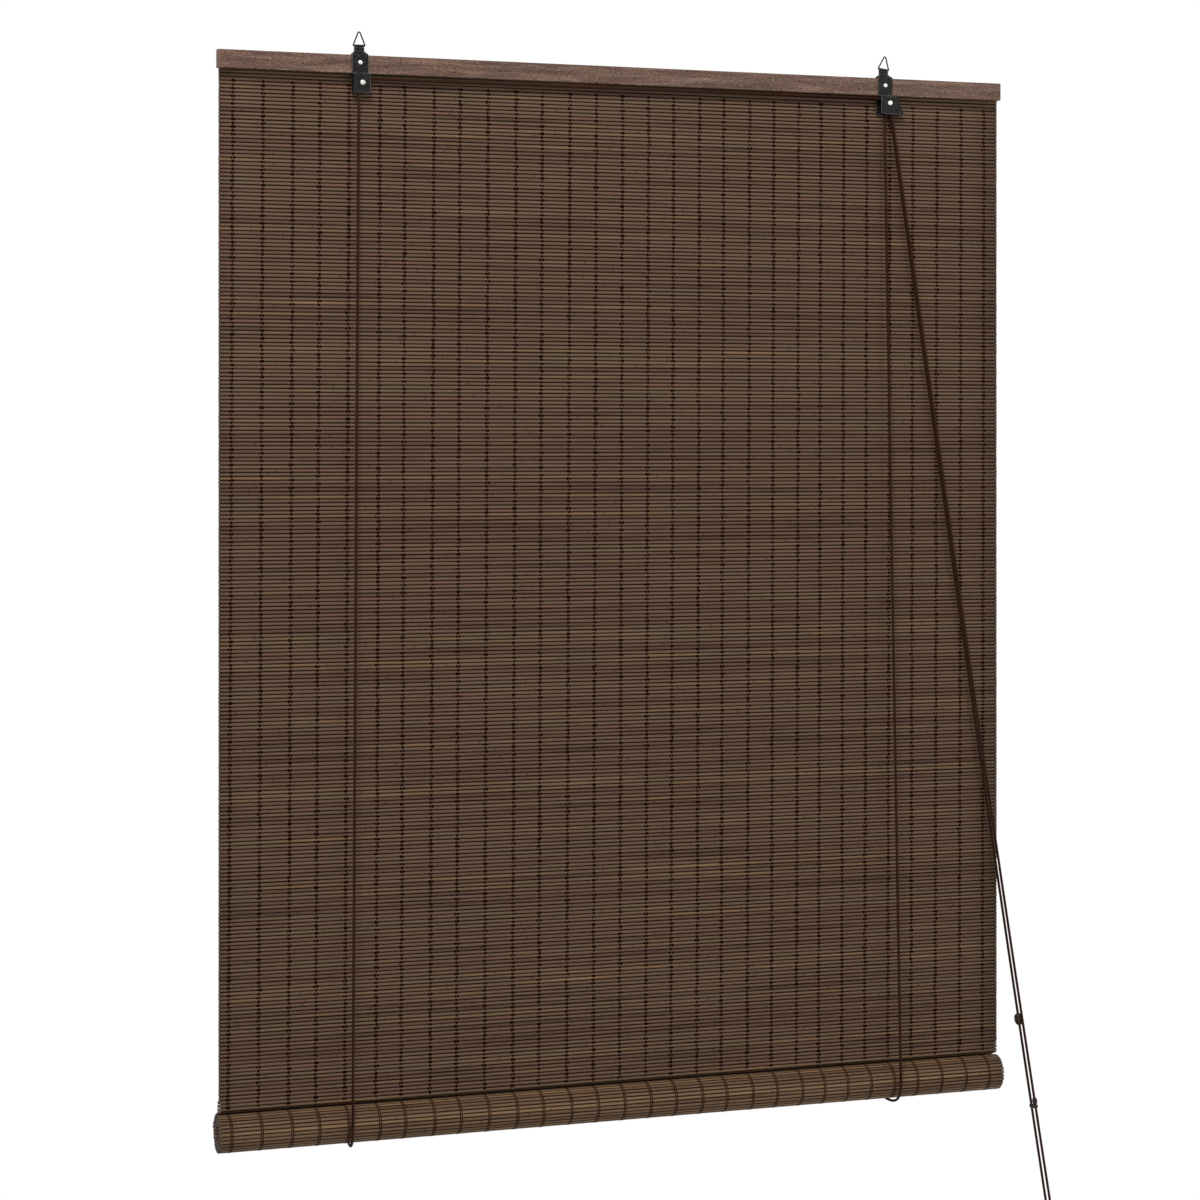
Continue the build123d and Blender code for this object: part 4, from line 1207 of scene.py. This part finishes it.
class Fittings:
    """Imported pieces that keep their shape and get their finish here."""

    def __init__(self, palette: Palette) -> None:
        """Lists each finish with the nodes that wear it."""
        self.finishes = (
            (palette.rail, ("head_rail", "bottom_batten")),
            (palette.sheet, ("hanger_strap_left", "hanger_strap_right", "pulley_housing", "lock_housing")),
            (palette.wire, ("hanging_ring_left", "hanging_ring_right")),
            (palette.nickel, ("strap_rivet_left", "strap_rivet_right", "pulley_axle_rivet",
                              "lock_axle_rivet")),
            (palette.plastic, ("pulley_wheel", "lock_wheel")),
            (palette.steel, ("lock_roller", "cord_staple_left", "cord_staple_right", "mat_staples")),
        )

    def dress(self) -> int:
        """Gives every node its material.

        Returns:
            How many nodes were dressed.
        """
        worn = [(name, material) for material, names in self.finishes for name in names]
        for name, material in worn:
            dress(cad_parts[name], [material])
        return len(worn)


@dataclass
class Studio:
    """Camera, soft lights, pale floor and white surroundings."""

    eye: Place = (-1.5185, -4.0475, -0.5598)
    yaw: float = 20.0
    lens: float = 90.0
    shift_y: float = -0.1383
    floor_z: float = -2.0
    floor_radius: float = 3.0
    ambient: float = 0.38

    def build(self) -> None:
        """Builds the camera, lamps, floor and world."""
        self._camera()
        self._lamp("key", (-1.7, -3.0, 2.9), 1.4, 150.0)
        self._lamp("fill", (2.4, -3.8, 0.4), 2.2, 28.0)
        self._floor()
        self._world()

    def _camera(self) -> None:
        """Level camera, turned to the right by the yaw."""
        data = bpy.data.cameras.new("camera")
        data.lens = self.lens
        data.sensor_width = 36.0
        data.shift_y = self.shift_y
        data.clip_end = 50.0
        camera = bpy.data.objects.new("camera", data)
        camera.location = self.eye
        camera.rotation_euler = (np.pi / 2, 0.0, -np.radians(self.yaw))
        bpy.context.scene.collection.objects.link(camera)
        bpy.context.scene.camera = camera

    def _lamp(self, name: str, place: Place, size: float, power: float) -> None:
        """Square soft lamp that faces the middle of the blind."""
        data = bpy.data.lights.new(name, "AREA")
        data.size = size
        data.energy = power
        lamp = bpy.data.objects.new(name, data)
        lamp.location = place
        target = np.array([0.0, 0.0, -0.75]) - np.array(place)
        lamp.rotation_euler = (np.arccos(-target[2] / np.linalg.norm(target)), 0.0,
                               np.arctan2(target[1], target[0]) - np.pi / 2)
        bpy.context.scene.collection.objects.link(lamp)

    def _floor(self) -> None:
        """Pale round floor that fades into the white around it."""
        a = circle(64)
        points = np.stack([self.floor_radius * np.cos(a), self.floor_radius * np.sin(a),
                           np.full(64, self.floor_z)], -1)
        floor = put_mesh("studio_floor", points, [np.arange(64)[None, :]])
        made, graph, shader = new_material("studio_floor")
        shader.inputs["Base Color"].default_value = (0.86, 0.86, 0.86, 1.0)
        shader.inputs["Roughness"].default_value = 0.9
        x, y, _ = graph.parts(graph.here())
        reach = graph.maths("SQRT", graph.add(graph.times(x, x), graph.times(y, y)))
        graph.feed(shader.inputs["Alpha"], graph.steps(reach, 0.95, 0.5))
        dress(floor, [made])

    def _world(self) -> None:
        """White for the camera and in reflections, plain light elsewhere."""
        world = bpy.data.worlds.new("studio_world")
        world.use_nodes = True
        graph = Graph(world.node_tree)
        path = graph.node("LightPath")
        seen = graph.maths("MAXIMUM", path.outputs["Is Camera Ray"], graph.maths(
            "MAXIMUM", path.outputs["Is Glossy Ray"], path.outputs["Is Transmission Ray"]))
        back = world.node_tree.nodes["Background"]
        back.inputs["Color"].default_value = (1.0, 1.0, 1.0, 1.0)
        graph.feed(back.inputs["Strength"], graph.scale(seen, 0.0, 1.0, self.ambient, 1.0))
        bpy.context.scene.world = world


def main() -> None:
    """Builds the blind and its studio in order."""
    logging.basicConfig(level=logging.INFO, format="%(message)s")
    palette = Palette()
    for piece in Mat(palette).build() + Cords(palette).build():
        LOG.info("%s: %d faces", piece.name, len(piece.data.polygons))
    LOG.info("%d packed nodes dressed", Fittings(palette).dress())
    Studio().build()
    bpy.context.scene.view_settings.view_transform = "Standard"


if __name__ == "__main__":
    main()
